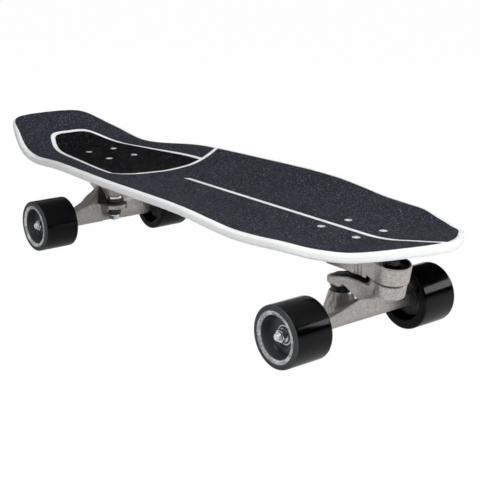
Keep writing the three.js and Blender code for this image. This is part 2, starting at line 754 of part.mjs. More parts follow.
// Round collars of a hanger and the bore for its axle
function collars(axle_out) {
  const frame = frameAt(new THREE.Vector3(axle_out, 0, 0), new THREE.Vector3(0, 1, 0));
  return bar(hanger_end_radius, -hanger_half, hanger_half, round, frame);
}

function axleBore(axle_out) {
  const frame = frameAt(new THREE.Vector3(axle_out, 0, 0), new THREE.Vector3(0, 1, 0));
  return bar(axle_radius + gap, -hanger_half - overrun, hanger_half + overrun, small, frame);
}

function kingpinBore(kingpin_out, room) {
  return bar(kingpin_radius + room, -cutter_reach, cutter_reach, small,
    frameAt(new THREE.Vector3(kingpin_out, 0, 0)));
}

// Rounded plate under the deck, with its four bolt holes
function mountingPlate(back, ahead, top) {
  const turns = [[ahead, 1, 0], [back, 1, 1], [back, -1, 2], [ahead, -1, 3]];
  const points = turns.flatMap(([x, y_side, quarter]) => [0, 1, 2, 3].map((k) => {
    const angle = (Math.PI / 2) * (quarter + k / 3);
    const x_side = x === ahead ? 1 : -1;
    return [x - x_side * plate_corner + plate_corner * Math.cos(angle),
      y_side * (plate_half - plate_corner) + plate_corner * Math.sin(angle)];
  }));
  return plan(points, top - plate_thick, top);
}

function boltHoles(low, high, radius) {
  const holes = [];
  for (const x_side of [1, -1]) {
    for (const y_side of [1, -1]) {
      holes.push(bar(radius, low, high, small, frameAt(new THREE.Vector3(
        (x_side * bolts_along) / 2, (y_side * bolts_across) / 2, 0))));
    }
  }
  return holes;
}

// Coil of the return spring as one tube along the X axis
function springSolid() {
  const points = [];
  const steps = spring_turns * 8;
  for (let i = 0; i <= steps; i += 1) {
    const angle = (2 * Math.PI * spring_turns * i) / steps;
    points.push(new THREE.Vector3(spring_back + (spring_length * i) / steps,
      spring_radius * Math.cos(angle), spring_height + spring_radius * Math.sin(angle)));
  }
  const section = new THREE.Shape();
  section.absarc(0, 0, spring_wire, 0, 2 * Math.PI);
  const geometry = new THREE.ExtrudeGeometry(section, {
    steps, curveSegments: 3, bevelEnabled: false, extrudePath: new THREE.CatmullRomCurve3(points),
  });
  const solid = solidOf(geometry);
  return solid.volume() < 0 ? solidOf(flipped(geometry)) : solid;
}

const swing_frame = frameAt(new THREE.Vector3(boss_out, 0, boss_height),
  new THREE.Vector3(Math.sin(boss_tilt), 0, Math.cos(boss_tilt)));
const half_parting = boss_gap / 2;
const thrust_low = -thrust_thick / 2;

function frontPlate() {
  const [top, under] = [front_plate_top, front_plate_under];
  const boss_back = boss_out - boss_radius - spine_half;
  const body = join(
    mountingPlate(front_plate_back, front_plate_ahead, top),
    block([spine_back, -spine_half, spine_low], [boss_out - boss_radius, spine_half, under + gap]),
    plan(capsule(boss_back, spine_half, boss_out, boss_radius), spine_low, under)
      .intersect(side([
        [boss_back - spine_half, spine_low], [boss_out, spine_low + half_parting],
        [boss_out, under - shoulder_drop], [boss_out - boss_radius, under], [boss_back, under],
        [boss_back - spine_half, under],
      ], boss_radius)),
    bar(boss_radius, half_parting, boss_rise, fine, swing_frame),
  );
  const below_parting = bar(boss_radius + 2 * gap, -boss_height, half_parting, fine, swing_frame);
  const bore = frameAt(new THREE.Vector3(0, 0, spring_height), new THREE.Vector3(1, 0, 0));
  return cut(body, below_parting,
    bar(boss_pan_radius, pan_floor, cutter_reach, round, swing_frame),
    bar(spigot_radius + 2 * gap, -overrun, spigot_height + 2 * gap, round, swing_frame),
    bar(swing_bolt_radius + gap, 0, boss_rise, small, swing_frame),
    tube(thrust_radius + gap, thrust_bore - gap, 0, -thrust_low + gap, round, swing_frame),
    bar(spring_bore, spring_back - gap - spring_wire * 2, boss_out, small, bore),
    ...boltHoles(0, top + overrun, bolt_radius + gap),
    ...boltHoles(0, under, deck_nut_radius + nut_room));
}

function swingArm(lean) {
  const end_top = front_seat_height + arm_end_thick;
  const top = spine_low - arm_room;
  const tail_end = front_kingpin_out - arm_end_radius;
  const profile = [
    [tail_end, front_seat_height], [front_kingpin_out + cup_washer_radius, front_seat_height],
    [arch_out, front_seat_height + arch_rise], [arm_belly_out, arm_belly_height],
    [boss_out, boss_height - arm_boss_drop - overrun], [boss_out, top], [front_axle_out, top],
    [front_kingpin_out + arm_end_radius, end_top + (top - end_top) * arm_hump_share],
    [tail_end, end_top],
  ];
  const plan_form = plan(
    capsule(front_kingpin_out, arm_end_radius, boss_out, arm_boss_radius), 0, cutter_reach);
  const body = join(
    side(profile, arm_boss_radius).intersect(plan_form),
    bar(arm_boss_radius, -arm_boss_drop, -half_parting, fine, swing_frame),
    bar(spigot_radius, -thrust_thick, spigot_height, round, swing_frame),
    housing(lean).intersect(block([0, -arm_boss_radius, 0], [boss_out, arm_boss_radius, top])),
  );
  const above_parting = tube(
    boss_radius, spigot_radius, -half_parting, boss_rise, round, swing_frame);
  const head_recess = swing_head_height + gap - arm_boss_drop;
  return cut(body, above_parting, housingBore(lean),
    bar(swing_bolt_radius + gap, -boss_height, boss_height, small, swing_frame),
    bar(swing_head_radius + gap, -boss_height, head_recess, round, swing_frame),
    tube(thrust_radius + gap, thrust_bore - gap, thrust_low - gap, 0, round, swing_frame),
    bar(kingpin_head_radius + head_room, front_seat_height + arm_floor, boss_height, round,
      frameAt(new THREE.Vector3(front_kingpin_out, 0, 0))),
    kingpinBore(front_kingpin_out, gap));
}

function frontHanger(lean) {
  const web_back = front_axle_out - hanger_end_radius;
  const ring_top = ring_middle + ring_thick / 2;
  const ring_low = ring_middle - ring_thick / 2;
  const bell_frame = frameAt(new THREE.Vector3(front_kingpin_out, 0, 0));
  const bell = turned([
    [0, ring_top], [bell_top_radius, ring_top], [bell_top_radius + 1.5 * gap, ring_top - bell_edge],
    [bell_middle_radius, ring_middle - bell_edge], [bell_radius, -bell_edge],
    [bell_radius, -hanger_sole], [0, -hanger_sole],
  ], round, bell_frame);
  const wing = front([
    [0, -hanger_sole], [hanger_wing, -hanger_sole], [hanger_wing, hanger_sole / 2],
    ...front_wing_shares.map(([y, z]) => [y * hanger_wing, z * front_wing_height]),
  ], web_back, front_face_out).intersect(side([
    [web_back, -hanger_sole], [front_face_out, -hanger_sole],
    [front_face_out, front_wing_height], [front_face_out - blade_thick, front_wing_height],
    [front_face_out - blade_thick, 0], [web_back, 0],
  ], hanger_half));
  const bridge = block([front_kingpin_out, -bell_middle_radius, -hanger_sole],
    [front_axle_out, bell_middle_radius, ring_middle]);
  const body = cut(join(bell, wing, bridge, collars(front_axle_out)), pastMouth(lean));
  return cut(join(body, nose(lean, front_root)),
    axleBore(front_axle_out), kingpinBore(front_kingpin_out, lean_room),
    bar(bell_radius - bell_wall, -cutter_reach, ring_low, round, bell_frame));
}

function rearPlate(lean) {
  const top = rear_truck_height - gap;
  const under = top - plate_thick;
  const boss_frame = frameAt(new THREE.Vector3(rear_kingpin_out, 0, 0));
  const boss = turned([
    [0, under + gap], [rear_boss_top_radius, under + gap],
    [rear_boss_top_radius, rear_seat_height + rear_boss_flare],
    [rear_boss_radius, rear_seat_height], [0, rear_seat_height],
  ], round, boss_frame);
  const web_low = rear_nose_height + housing_radius;
  const web = side([
    [rear_kingpin_out, under + gap], [rear_kingpin_out, web_low],
    [rear_nose_out, rear_nose_height], [rear_nose_out + housing_radius, rear_nose_height],
    [rear_nose_out + housing_radius + overrun, under + gap],
  ], housing_radius);
  const behind_mouth = bar(cutter_reach, -cutter_reach, -pivot_cup_mouth, round, lean)
    .intersect(block([rear_kingpin_out - cutter_reach, -cutter_reach, 0],
      [rear_nose_out + cutter_reach, cutter_reach, web_low]));
  return cut(join(
    mountingPlate(-rear_plate_half_length, rear_plate_half_length + housing_radius, top), boss,
    cut(web, behind_mouth), housing(lean)),
  housingBore(lean), kingpinBore(rear_kingpin_out, gap),
  bar(kingpin_head_radius + gap, under + plate_thick - kingpin_head_height - gap, top + overrun,
    round, boss_frame),
  ...boltHoles(0, top + overrun, bolt_radius + gap),
  ...boltHoles(web_low - housing_radius, under, deck_nut_radius + nut_room));
}

function rearHanger(lean) {
  const ring_top = ring_middle + ring_thick / 2;
  const ring_low = ring_middle - ring_thick / 2;
  const ring_frame = frameAt(new THREE.Vector3(rear_kingpin_out, 0, 0));
  const [near, far] = [rear_axle_out - hanger_end_radius, rear_axle_out + hanger_end_radius];
  const wing = front([
    [0, -hanger_end_radius], [hanger_wing, -hanger_end_radius],
    ...rear_wing_shares.map(([y, z]) => [y * hanger_wing, z * rear_wing_height]),
  ], near, rear_nose_out).intersect(side([
    [near, -hanger_end_radius], [far, -hanger_end_radius], [far, ring_middle],
    [rear_nose_out - housing_radius * 0.7, rear_nose_height - housing_radius],
    [rear_nose_out - housing_radius, rear_wing_height], [far - overrun, rear_wing_height],
    [near, ring_top + overrun],
  ], hanger_half));
  const ring = bar(rear_ring_radius, ring_low, ring_top, round, ring_frame);
  const body = cut(join(wing, ring, collars(rear_axle_out)),
    pastMouth(lean), bar(rear_pocket, ring_top, cutter_reach, fine, ring_frame));
  const axle_wall = rear_axle_out - axle_radius - gap - thin_wall;
  return cut(join(body, nose(lean, rear_root)),
    axleBore(rear_axle_out), kingpinBore(rear_kingpin_out, lean_room),
    block([-cutter_reach, -rear_pocket_half, -cutter_reach],
      [axle_wall, rear_pocket_half, ring_low]));
}

function frontTruck() {
  const lean = leanFrame(front_kingpin_out, front_nose_out, front_nose_height);
  const truck = new THREE.Group();
  truck.position.set(front_bolts, 0, wheel_radius);
  const plunger_low = spring_back + spring_length + spring_wire + gap;
  const plunger_high = boss_out + Math.tan(boss_tilt) * (spring_height - boss_height)
    - spigot_radius - plunger_room;
  const along_x = frameAt(new THREE.Vector3(0, 0, spring_height), new THREE.Vector3(1, 0, 0));
  const nut_low = pan_floor + gap;
  const head_low = -arm_boss_drop;
  truck.add(
    mesh('front_base_plate', frontPlate(), materials.cast),
    mesh('front_swing_arm', swingArm(lean), materials.cast),
    mesh('swing_pivot_bolt', join(
      bar(swing_bolt_radius, head_low, nut_low + swing_nut_height + gap, small, swing_frame),
      bar(swing_head_radius, head_low, head_low + swing_head_height, hex, swing_frame)),
    materials.black_steel),
    mesh('swing_pivot_nut', tube(swing_nut_radius, swing_bolt_radius + gap, nut_low,
      nut_low + swing_nut_height, hex, swing_frame), materials.black_steel),
    mesh('swing_thrust_bearing',
      tube(thrust_radius, thrust_bore, thrust_low, -thrust_low, round, swing_frame),
      materials.steel),
    mesh('swing_return_spring', springSolid(), materials.steel),
    mesh('swing_spring_plunger', bar(plunger_radius, plunger_low, plunger_high, small, along_x),
      materials.steel),
    mesh('front_hanger', frontHanger(lean), materials.cast),
    axle('front_axle', front_axle_out),
    pivotCup('front_pivot_cup', lean),
    ...kingpinPieces('front', front_kingpin_out, front_seat_height,
      front_seat_height + arm_floor + gap),
    axleNut('front_left_axle_nut', front_axle_out, 1),
    axleNut('front_right_axle_nut', front_axle_out, -1),
  );
  return truck;
}

function rearTruck() {
  const lean = leanFrame(rear_kingpin_out, rear_nose_out, rear_nose_height);
  const truck = new THREE.Group();
  truck.position.set(rear_bolts, 0, wheel_radius);
  truck.rotation.z = Math.PI;
  truck.add(
    mesh('rear_base_plate', rearPlate(lean), materials.cast),
    mesh('rear_hanger', rearHanger(lean), materials.cast),
    axle('rear_axle', rear_axle_out),
    pivotCup('rear_pivot_cup', lean),
    ...kingpinPieces('rear', rear_kingpin_out, rear_seat_height,
      rear_truck_height - gap - kingpin_head_height),
    axleNut('rear_left_axle_nut', rear_axle_out, -1),
    axleNut('rear_right_axle_nut', rear_axle_out, 1),
  );
  return truck;
}

const board = new THREE.Group();
board.add(
  mesh('deck', deckSolid(), materials.paint),
  ...gripPanels(),
  ...deckBolts(),
  frontTruck(),
  rearTruck(),
  ...wheelPieces('front_left', front_bolts + front_axle_out, 1),
  ...wheelPieces('front_right', front_bolts + front_axle_out, -1),
  ...wheelPieces('rear_left', rear_bolts - rear_axle_out, 1),
  ...wheelPieces('rear_right', rear_bolts - rear_axle_out, -1),
);

export default board;
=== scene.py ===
# %% [markdown]
# A surf skateboard, dressed for its picture
# The packed model gives the frame: every body, joint and solid, in metres.
# This lesson makes the finer pieces that stand for those solids, paints them,
# and sets up the camera and the light. It works in millimetres and changes to
# metres when a mesh is made, because a board's makers think in millimetres.

# %% Load the frame
import math
import bpy
import numpy as np
from mathutils import Matrix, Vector
from mathutils.geometry import delaunay_2d_cdt


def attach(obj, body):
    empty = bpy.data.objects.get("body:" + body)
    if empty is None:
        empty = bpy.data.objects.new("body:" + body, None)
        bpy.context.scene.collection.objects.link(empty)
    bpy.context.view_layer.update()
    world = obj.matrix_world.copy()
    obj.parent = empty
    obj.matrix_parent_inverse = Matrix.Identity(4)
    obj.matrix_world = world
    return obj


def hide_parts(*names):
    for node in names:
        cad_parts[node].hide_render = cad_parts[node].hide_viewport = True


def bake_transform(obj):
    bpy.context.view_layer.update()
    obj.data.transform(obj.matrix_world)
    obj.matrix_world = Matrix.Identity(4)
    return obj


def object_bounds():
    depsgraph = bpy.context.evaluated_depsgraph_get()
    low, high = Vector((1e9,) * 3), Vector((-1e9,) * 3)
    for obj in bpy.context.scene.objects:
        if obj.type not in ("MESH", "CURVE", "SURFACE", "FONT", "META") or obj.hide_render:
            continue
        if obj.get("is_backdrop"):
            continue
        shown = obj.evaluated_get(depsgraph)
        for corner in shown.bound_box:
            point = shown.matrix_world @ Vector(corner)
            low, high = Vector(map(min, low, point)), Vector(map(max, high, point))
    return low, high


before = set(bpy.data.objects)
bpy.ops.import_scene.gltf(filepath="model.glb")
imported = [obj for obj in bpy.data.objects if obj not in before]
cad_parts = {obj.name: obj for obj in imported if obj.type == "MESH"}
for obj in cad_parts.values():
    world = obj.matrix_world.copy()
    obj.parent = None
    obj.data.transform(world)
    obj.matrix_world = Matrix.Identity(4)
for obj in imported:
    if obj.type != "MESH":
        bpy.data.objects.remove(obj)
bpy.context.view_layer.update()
MM = 0.001

# %% [markdown]
# The camera
# The photograph was matched by its bolts, wheels and outline: the camera stands
# ahead of the nose on the rider's right, a little above the deck, with a long lens.
# Its turn is built from three directions, so that no angle order can go wrong.

# %% Place the camera
camera_azimuth = math.radians(50.86)
camera_elevation = math.radians(16.9)
camera_roll = math.radians(0.79)
camera_place = (1.05426, -0.79682, 0.45155)
sensor, focal_pixels, photo_width = 36.0, 1065.58, 480
lens = sensor * focal_pixels / photo_width

back = np.array([
    math.sin(camera_azimuth) * math.cos(camera_elevation),
    -math.cos(camera_azimuth) * math.cos(camera_elevation),
    math.sin(camera_elevation)])
level = np.array([math.cos(camera_azimuth), math.sin(camera_azimuth), 0.0])
upright = np.cross(back, level)
right = math.cos(camera_roll) * level + math.sin(camera_roll) * upright
up = math.cos(camera_roll) * upright - math.sin(camera_roll) * level

camera_data = bpy.data.cameras.new("photo_camera")
camera_data.sensor_width = sensor
camera_data.lens = lens
camera_data.clip_start = 0.01
camera_data.clip_end = 50
camera = bpy.data.objects.new("photo_camera", camera_data)
turn = np.eye(4)
turn[:3, 0], turn[:3, 1], turn[:3, 2], turn[:3, 3] = right, up, back, camera_place
camera.matrix_world = Matrix(turn.tolist())
bpy.context.scene.collection.objects.link(camera)
bpy.context.scene.camera = camera
print("lens", round(lens, 2), "mm")

# %% [markdown]
# Putting a mesh into the scene
# Every piece below is worked out as one array of points and one of triangles.
# This helper welds points that fall together, such as those of a pole or a seam,
# drops triangles that have collapsed or lie back to back, turns the whole skin
# outwards when its volume comes out negative, and keeps edges crisp above a chosen
# angle.

# %% Make meshes from arrays
made_pieces = []


def halves(quads):
    """Two triangles for each quad a, b, c, d: a b c and a c d."""
    return np.concatenate([quads[:, [0, 1, 2]], quads[:, [0, 2, 3]]])


def put(name, points, triangles, crisp=35.0, attributes=None):
    """A welded, outward-facing, smooth-shaded mesh object in metres."""
    points = np.asarray(points, float).reshape(-1, 3)
    kept, first, where = np.unique(
        np.round(points, 5), axis=0, return_index=True, return_inverse=True)
    triangles = where.reshape(-1)[np.asarray(triangles)]
    a, b, c = triangles.T
    triangles = triangles[(a != b) & (b != c) & (c != a)]
    _, twin, count = np.unique(
        np.sort(triangles, axis=1), axis=0, return_inverse=True, return_counts=True)
    triangles = triangles[count[twin.reshape(-1)] == 1]
    p, q, r = (kept[triangles[:, k]] for k in range(3))
    if np.einsum("ij,ij->i", p, np.cross(q, r)).sum() < 0:
        triangles = triangles[:, ::-1]
    mesh = bpy.data.meshes.new(name)
    mesh.vertices.add(len(kept))
    mesh.vertices.foreach_set("co", (kept * MM).ravel())
    mesh.loops.add(triangles.size)
    mesh.loops.foreach_set("vertex_index", triangles.ravel().astype(np.int32))
    mesh.polygons.add(len(triangles))
    mesh.polygons.foreach_set("loop_start", np.arange(0, triangles.size, 3, dtype=np.int32))
    mesh.update(calc_edges=True)
    mesh.shade_smooth()
    mesh.set_sharp_from_angle(angle=math.radians(crisp))
    for label, values in (attributes or {}).items():
        layer = mesh.attributes.new(label, "FLOAT", "POINT")
        layer.data.foreach_set("value", np.asarray(values, float).ravel()[first])
    piece = bpy.data.objects.new(name, mesh)
    bpy.context.scene.collection.objects.link(piece)
    made_pieces.append((name, len(triangles)))
    return piece


def grid_faces(rows, columns, wrap_rows=False, wrap_columns=False):
    """Triangles between neighbouring points of a grid, wrapped where it closes."""
    row = np.arange(rows if wrap_rows else rows - 1)
    column = np.arange(columns if wrap_columns else columns - 1)
    i, j = (index.ravel() for index in np.meshgrid(row, column, indexing="ij"))
    i2, j2 = (i + 1) % rows, (j + 1) % columns
    return halves(np.stack([
        i * columns + j, i * columns + j2, i2 * columns + j2, i2 * columns + j], axis=1))


def dress(piece, body, nodes, finish):
    """The piece rides on a body, if one is given, stands for CAD nodes and takes a finish."""
    piece.data.materials.append(finish)
    if body:
        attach(piece, body)
    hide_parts(*([nodes] if isinstance(nodes, str) else nodes))
    return piece

# %% [markdown]
# Turned pieces
# Wheels, bearings, washers, bolts and nuts are all a profile turned about an axis.
# Machined and moulded parts never have knife edges, so each profile's corners
# are first softened: a corner becomes a short curve between its two edges.
# A nut is the same thing with its radius held inside a hexagon.

# %% Turn a profile about an axis
def soften(profile, radius):
    """Closed profile whose corners are quadratic curves about radius long."""
    points = np.asarray(profile, float)
    before, after = np.roll(points, 1, axis=0), np.roll(points, -1, axis=0)
    back_way, on_way = before - points, after - points
    back_long = np.linalg.norm(back_way, axis=1)
    on_long = np.linalg.norm(on_way, axis=1)
    reach = np.minimum(radius, 0.45 * np.minimum(back_long, on_long))
    reach = np.where(points[:, 0] < 1e-6, 0.0, reach)[:, None]
    start = points + back_way / back_long[:, None] * reach
    end = points + on_way / on_long[:, None] * reach
    t = np.linspace(0, 1, 4)[None, :, None]
    curve = ((1 - t) ** 2 * start[:, None] + 2 * t * (1 - t) * points[:, None]
             + t ** 2 * end[:, None])
    return curve.reshape(-1, 2)


def axis_frame(direction):
    """Two directions across an axis, and the axis itself, as rows."""
    along_axis = np.asarray(direction, float) / np.linalg.norm(direction)
    helper = np.array([0.0, 0.0, 1.0]) if abs(along_axis[2]) < 0.9 else np.array([1.0, 0, 0])
    first = np.cross(helper, along_axis)
    first /= np.linalg.norm(first)
    return np.array([first, np.cross(along_axis, first), along_axis])


def hexagon(radius, low=-math.inf, high=math.inf):
    """Radius of a hexagon at an angle, on the part of a profile between two heights."""
    def at(angle, height):
        off_flat = np.mod(angle, math.pi / 3) - math.pi / 6
        flats = radius * math.cos(math.pi / 6) / np.cos(off_flat)
        return np.where((height >= low) & (height <= high), flats, math.inf)
    return at


def swept_radius(profile, angle, outline=None, ripple=None):
    """Radius of each profile point at each angle, held in an outline, less a ripple."""
    radius = np.repeat(profile[:, :1], len(angle), axis=1)
    if outline:
        radius = np.minimum(radius, outline(angle[None, :], profile[:, 1:]))
    return radius - ripple(angle[None, :], profile[:, 1:]) if ripple else radius


def turned(name, profile, place, direction, facets, soft, outline=None, ripple=None, crisp=35.0):
    """A closed profile of (radius, height) pairs, softened and turned about an axis."""
    loop = soften(profile, soft) if soft else np.asarray(profile, float)
    angle = np.arange(facets) * 2 * math.pi / facets
    radius = swept_radius(loop, angle, outline, ripple)
    first, second, along_axis = axis_frame(direction)
    points = (np.asarray(place, float) + radius[..., None] * (
        np.cos(angle)[None, :, None] * first + np.sin(angle)[None, :, None] * second)
        + loop[:, 1][:, None, None] * along_axis)
    triangles = grid_faces(len(loop), facets, wrap_rows=True, wrap_columns=True)
    return put(name, points, triangles, crisp, {
        "from_axis": np.repeat(loop[:, 0], facets), "height": np.repeat(loop[:, 1], facets)})


def fit(name, profile, place, way, facets, soft, body, node, finish, slot, **more):
    """Turn a profile and dress it."""
    return dress(turned(name, profile, place, way, facets, soft, **more), body, node, finish)

# %% [markdown]
# Finishes
# Each finish is a small graph of nodes that reads the piece's own coordinates,
# so that grain and scratches stay on it when it moves. A picture wrapped round a
# piece would stretch and blur up close. The nodes could be joined one by one, but
# these helpers keep a graph short: a node is made, set and joined in one call.

# %% A graph of nodes
def full_colour(value):
    """A colour or a grey with its alpha, or a socket as it is."""
    if isinstance(value, bpy.types.NodeSocket):
        return value
    return (*value, 1.0) if isinstance(value, tuple) else (value,) * 3 + (1.0,)


class Graph:
    """A tree of nodes; node() adds one and joins its inputs."""

    def __init__(self, tree):
        self.tree = tree

    def node(self, kind, inputs=None, **settings):
        """A new node; an input is a number, a colour or a socket to join."""
        made = self.tree.nodes.new(kind)
        for label, value in settings.items():
            setattr(made, label, value)
        for label, value in (inputs or {}).items():
            if isinstance(value, bpy.types.NodeSocket):
                self.tree.links.new(value, made.inputs[label])
            else:
                made.inputs[label].default_value = value
        return made

    def ramp(self, factor, stops):
        """Colour or grey that follows a factor through (position, colour) stops."""
        made = self.node("ShaderNodeValToRGB", {"Fac": factor})
        elements = made.color_ramp.elements
        while len(elements) < len(stops):
            elements.new(0.5)
        for element, (position, colour) in zip(elements, stops):
            element.position, element.color = position, full_colour(colour)
        return made.outputs["Color"]

    def between(self, factor, low, high, from_low=0.0, from_high=1.0):
        """A number that runs from low to high as the factor runs over its range."""
        return self.node("ShaderNodeMapRange", {
            "Value": factor, "From Min": from_low, "From Max": from_high,
            "To Min": low, "To Max": high}).outputs["Result"]

    def blend(self, factor, first, second, kind="MIX"):
        """The second colour over the first, or both multiplied, by a factor."""
        return self.node(
            "ShaderNodeMix", {0: factor, 6: full_colour(first), 7: full_colour(second)},
            data_type="RGBA", blend_type=kind).outputs[2]

    def sums(self, kind, first, second):
        """Two numbers added, multiplied or compared."""
        return self.node("ShaderNodeMath", {0: first, 1: second}, operation=kind).outputs[0]


print("graph calls", [name for name in vars(Graph) if not name.startswith("_")])

# %% A material and its patterns
class Finish(Graph):
    """One material: a graph that reads the piece's own coordinates, and its shader."""

    def __init__(self, name, **values):
        self.material = bpy.data.materials.new(name)
        self.material.use_nodes = True
        super().__init__(self.material.node_tree)
        self.skin = self.tree.nodes["Principled BSDF"]
        for label, value in values.items():
            self.skin.inputs[label.replace("_", " ")].default_value = value
        self.place = self.node("ShaderNodeTexCoord").outputs["Object"]

    def noise(self, size, detail, stretch=None, distortion=0.0):
        """Cloudy pattern whose lumps are about size millimetres across."""
        place = self.place
        if stretch:
            place = self.node(
                "ShaderNodeMapping", {"Vector": place, "Scale": stretch}).outputs["Vector"]
        return self.node("ShaderNodeTexNoise", {
            "Vector": place, "Scale": 1 / (size * MM), "Detail": detail,
            "Distortion": distortion}).outputs["Fac"]

    def cells(self, size, output):
        """Random cells about size millimetres across."""
        return self.node("ShaderNodeTexVoronoi", {
            "Vector": self.place, "Scale": 1 / (size * MM)}).outputs[output]

    def attribute(self, label):
        """A number that the mesh carries at each of its points."""
        return self.node("ShaderNodeAttribute", attribute_name=label).outputs["Fac"]

    def wire(self, label, value):
        """Join a value to one of the shader's inputs."""
        self.tree.links.new(value, self.skin.inputs[label])

    def bump(self, height, depth, strength):
        """Relief of depth millimetres, as light would show it."""
        made = self.node("ShaderNodeBump", {
            "Height": height, "Distance": depth * MM, "Strength": strength})
        self.wire("Normal", made.outputs["Normal"])


print("pattern calls", [name for name in vars(Finish) if not name.startswith("_")])

# %% [markdown]
# Lacquer and grit
# The deck's rail and underside are white lacquer, with a soft gloss over a trace of
# orange peel. The grip is sandpaper: dark grains in glue, a few of them painted
# lighter as painted glints. Grains as real meshes would be millions of triangles, so they
# are random cells that differ in colour and gloss, over a relief of finer cells.

# %% Lacquer and grit
def lacquer_finish():
    """White lacquer: a soft gloss with a trace of orange peel and faint handling marks."""
    made = Finish("white_lacquer", Coat_Weight=0.25, Coat_Roughness=0.12, IOR=1.5)
    made.wire("Base Color", made.ramp(made.noise(90, 4), [
        (0.3, (0.84, 0.86, 0.855)), (0.7, (0.90, 0.91, 0.905))]))
    made.wire("Roughness", made.between(made.noise(18, 6), 0.26, 0.42, 0.3, 0.7))
    made.bump(made.noise(3.2, 2), 0.05, 0.35)
    return made.material


def grit_finish(name, dark, light, painted_glint, painted_sheen):
    """Sandpaper: dark bonded grains, a few painted lighter as painted glints, over a cloudy ground.
    """
    made = Finish(name, Specular_IOR_Level=0.12)
    grain = made.cells(1.1, "Color")
    ground = made.ramp(made.noise(2.0, 6), [(0.38, dark), (0.62, light)])
    cloud = made.ramp(made.noise(60, 3), [(0.3, 0.88), (0.7, 1.1)])
    clouded = made.blend(1.0, ground, cloud, "MULTIPLY")
    separate = made.node("ShaderNodeSeparateColor", {"Color": grain})
    # The lighter grains are painted glints, a colour that stays the same under any lamp.
    painted_glint_share = made.ramp(separate.outputs["Red"], [(0.955, 0.0), (0.985, 1.0)])
    painted_glint_colour = made.blend(made.between(separate.outputs["Green"], 0.0, 1.0), painted_glint, painted_sheen)
    made.wire("Base Color", made.blend(painted_glint_share, clouded, painted_glint_colour))
    made.wire("Roughness", made.between(separate.outputs["Blue"], 0.62, 0.98))
    made.bump(made.cells(0.8, "Distance"), 0.35, 0.8)
    return made.material


lacquer = lacquer_finish()
# The last two colours of each grit are its painted glints.
grit = grit_finish("charcoal_grit", (0.0084, 0.0098, 0.0145), (0.043, 0.047, 0.059),
                   (0.20, 0.21, 0.25), (0.12, 0.13, 0.20))
pad_grit = grit_finish("black_grit", (0.001, 0.001, 0.0012), (0.006, 0.0056, 0.0065),
                       (0.13, 0.13, 0.135), (0.07, 0.07, 0.09))
print("board finishes", len(bpy.data.materials))

# %% [markdown]
# Metals
# The trucks are raw cast aluminium, mottled and finely pitted. Where a mask of the
# mesh says so, it has a polish whose streaks are painted pale as a painted highlight,
# or it is darkened towards black as painted shade, so one finish serves every casting.
# Bolts, nuts, washers and axles are plated or turned steel. Fine streaks change
# their gloss, and a light tarnish their colour.

# %% Metals
def cast_finish():
    """Raw casting: a mottled skin with fine pits; a polish with painted highlights, or painted shade
    towards black, where a mask says so.
    """
    made = Finish("raw_casting")
    mottle = made.noise(4, 9, distortion=0.4)
    fine_grain = made.noise(1.5, 8)
    skin = made.ramp(mottle, [(0.28, (0.42, 0.39, 0.37)), (0.72, (0.57, 0.535, 0.51))])
    pits = made.ramp(fine_grain, [(0.34, 0.74), (0.60, 1.10)])
    skin = made.blend(1.0, skin, pits, "MULTIPLY")
    polished, coated = made.attribute("polished"), made.attribute("coated")
    # Polish streaks, painted pale towards white as a painted highlight.
    polish_streaks_and_highlight = made.ramp(made.noise(5, 5, stretch=(1.6, 1.6, 0.35)), [
        (0.38, (0.42, 0.38, 0.35)), (0.58, (1.0, 0.96, 0.92))])
    skin = made.blend(polished, skin, polish_streaks_and_highlight)
    # The shade mask paints the skin towards black: painted shade.
    made.wire("Base Color", made.blend(coated, skin, (0.002, 0.002, 0.002)))
    rough = made.blend(polished, made.between(mottle, 0.42, 0.30, 0.3, 0.7), 0.36)
    made.wire("Roughness", made.blend(coated, rough, 0.95))
    made.wire("Metallic", made.blend(coated, made.between(polished, 0.82, 0.1), 0.0))
    relief = made.sums("ADD", fine_grain, made.between(made.noise(1.6, 4), 0.0, 1.2))
    made.bump(relief, 0.16, made.between(polished, 0.75, 0.06))
    return made.material


def bright_finish(name, colour, rough, shade=None, metal=1.0):
    """Plated or turned steel: fine streaks in gloss and a little cloudy tarnish, and painted shade
    where a mask says so.
    """
    made = Finish(name, Metallic=metal)
    tone = made.ramp(made.noise(5, 4), [(0.3, tuple(0.82 * c for c in colour)), (0.7, colour)])
    if shade:
        tone = made.blend(made.attribute(shade), tone, (0.01, 0.01, 0.01))
    made.wire("Base Color", tone)
    lines = made.noise(0.8, 4)
    made.wire("Roughness", made.between(lines, rough * 0.6, rough * 1.6, 0.3, 0.7))
    made.bump(lines, 0.02, 0.4)
    return made.material


casting = cast_finish()
chrome = bright_finish("bright_steel", (0.86, 0.87, 0.88), 0.18)
# The bolts' cross recess is painted dark by its mask: painted shade.
zinc = bright_finish("zinc_plate", (0.86, 0.87, 0.88), 0.40, shade="recess", metal=0.2)
black_steel = bright_finish("black_oxide", (0.045, 0.046, 0.05), 0.3)
print("with the metals", len(bpy.data.materials))

# %% [markdown]
# Rubber and moulded plastic
# Bushings, pivot cups and wheel cores come out of a mould with a close grain and a
# slow change of shade. They differ only in colour and gloss, so one function makes
# them all.

# %% Rubber and plastic
def plain_finish(name, dark, light, rough):
    """Moulded rubber or plastic: a close grain and a slow change of shade."""
    made = Finish(name)
    made.wire("Base Color", made.ramp(made.noise(12, 5), [(0.3, dark), (0.7, light)]))
    made.wire("Roughness", made.between(made.noise(6, 6), rough * 0.8, rough * 1.25, 0.3, 0.7))
    made.bump(made.noise(1.2, 4), 0.05, 0.5)
    return made.material


rubber = plain_finish("bushing_rubber", (0.008, 0.009, 0.012), (0.020, 0.022, 0.027), 0.34)
print("with the rubber", len(bpy.data.materials))

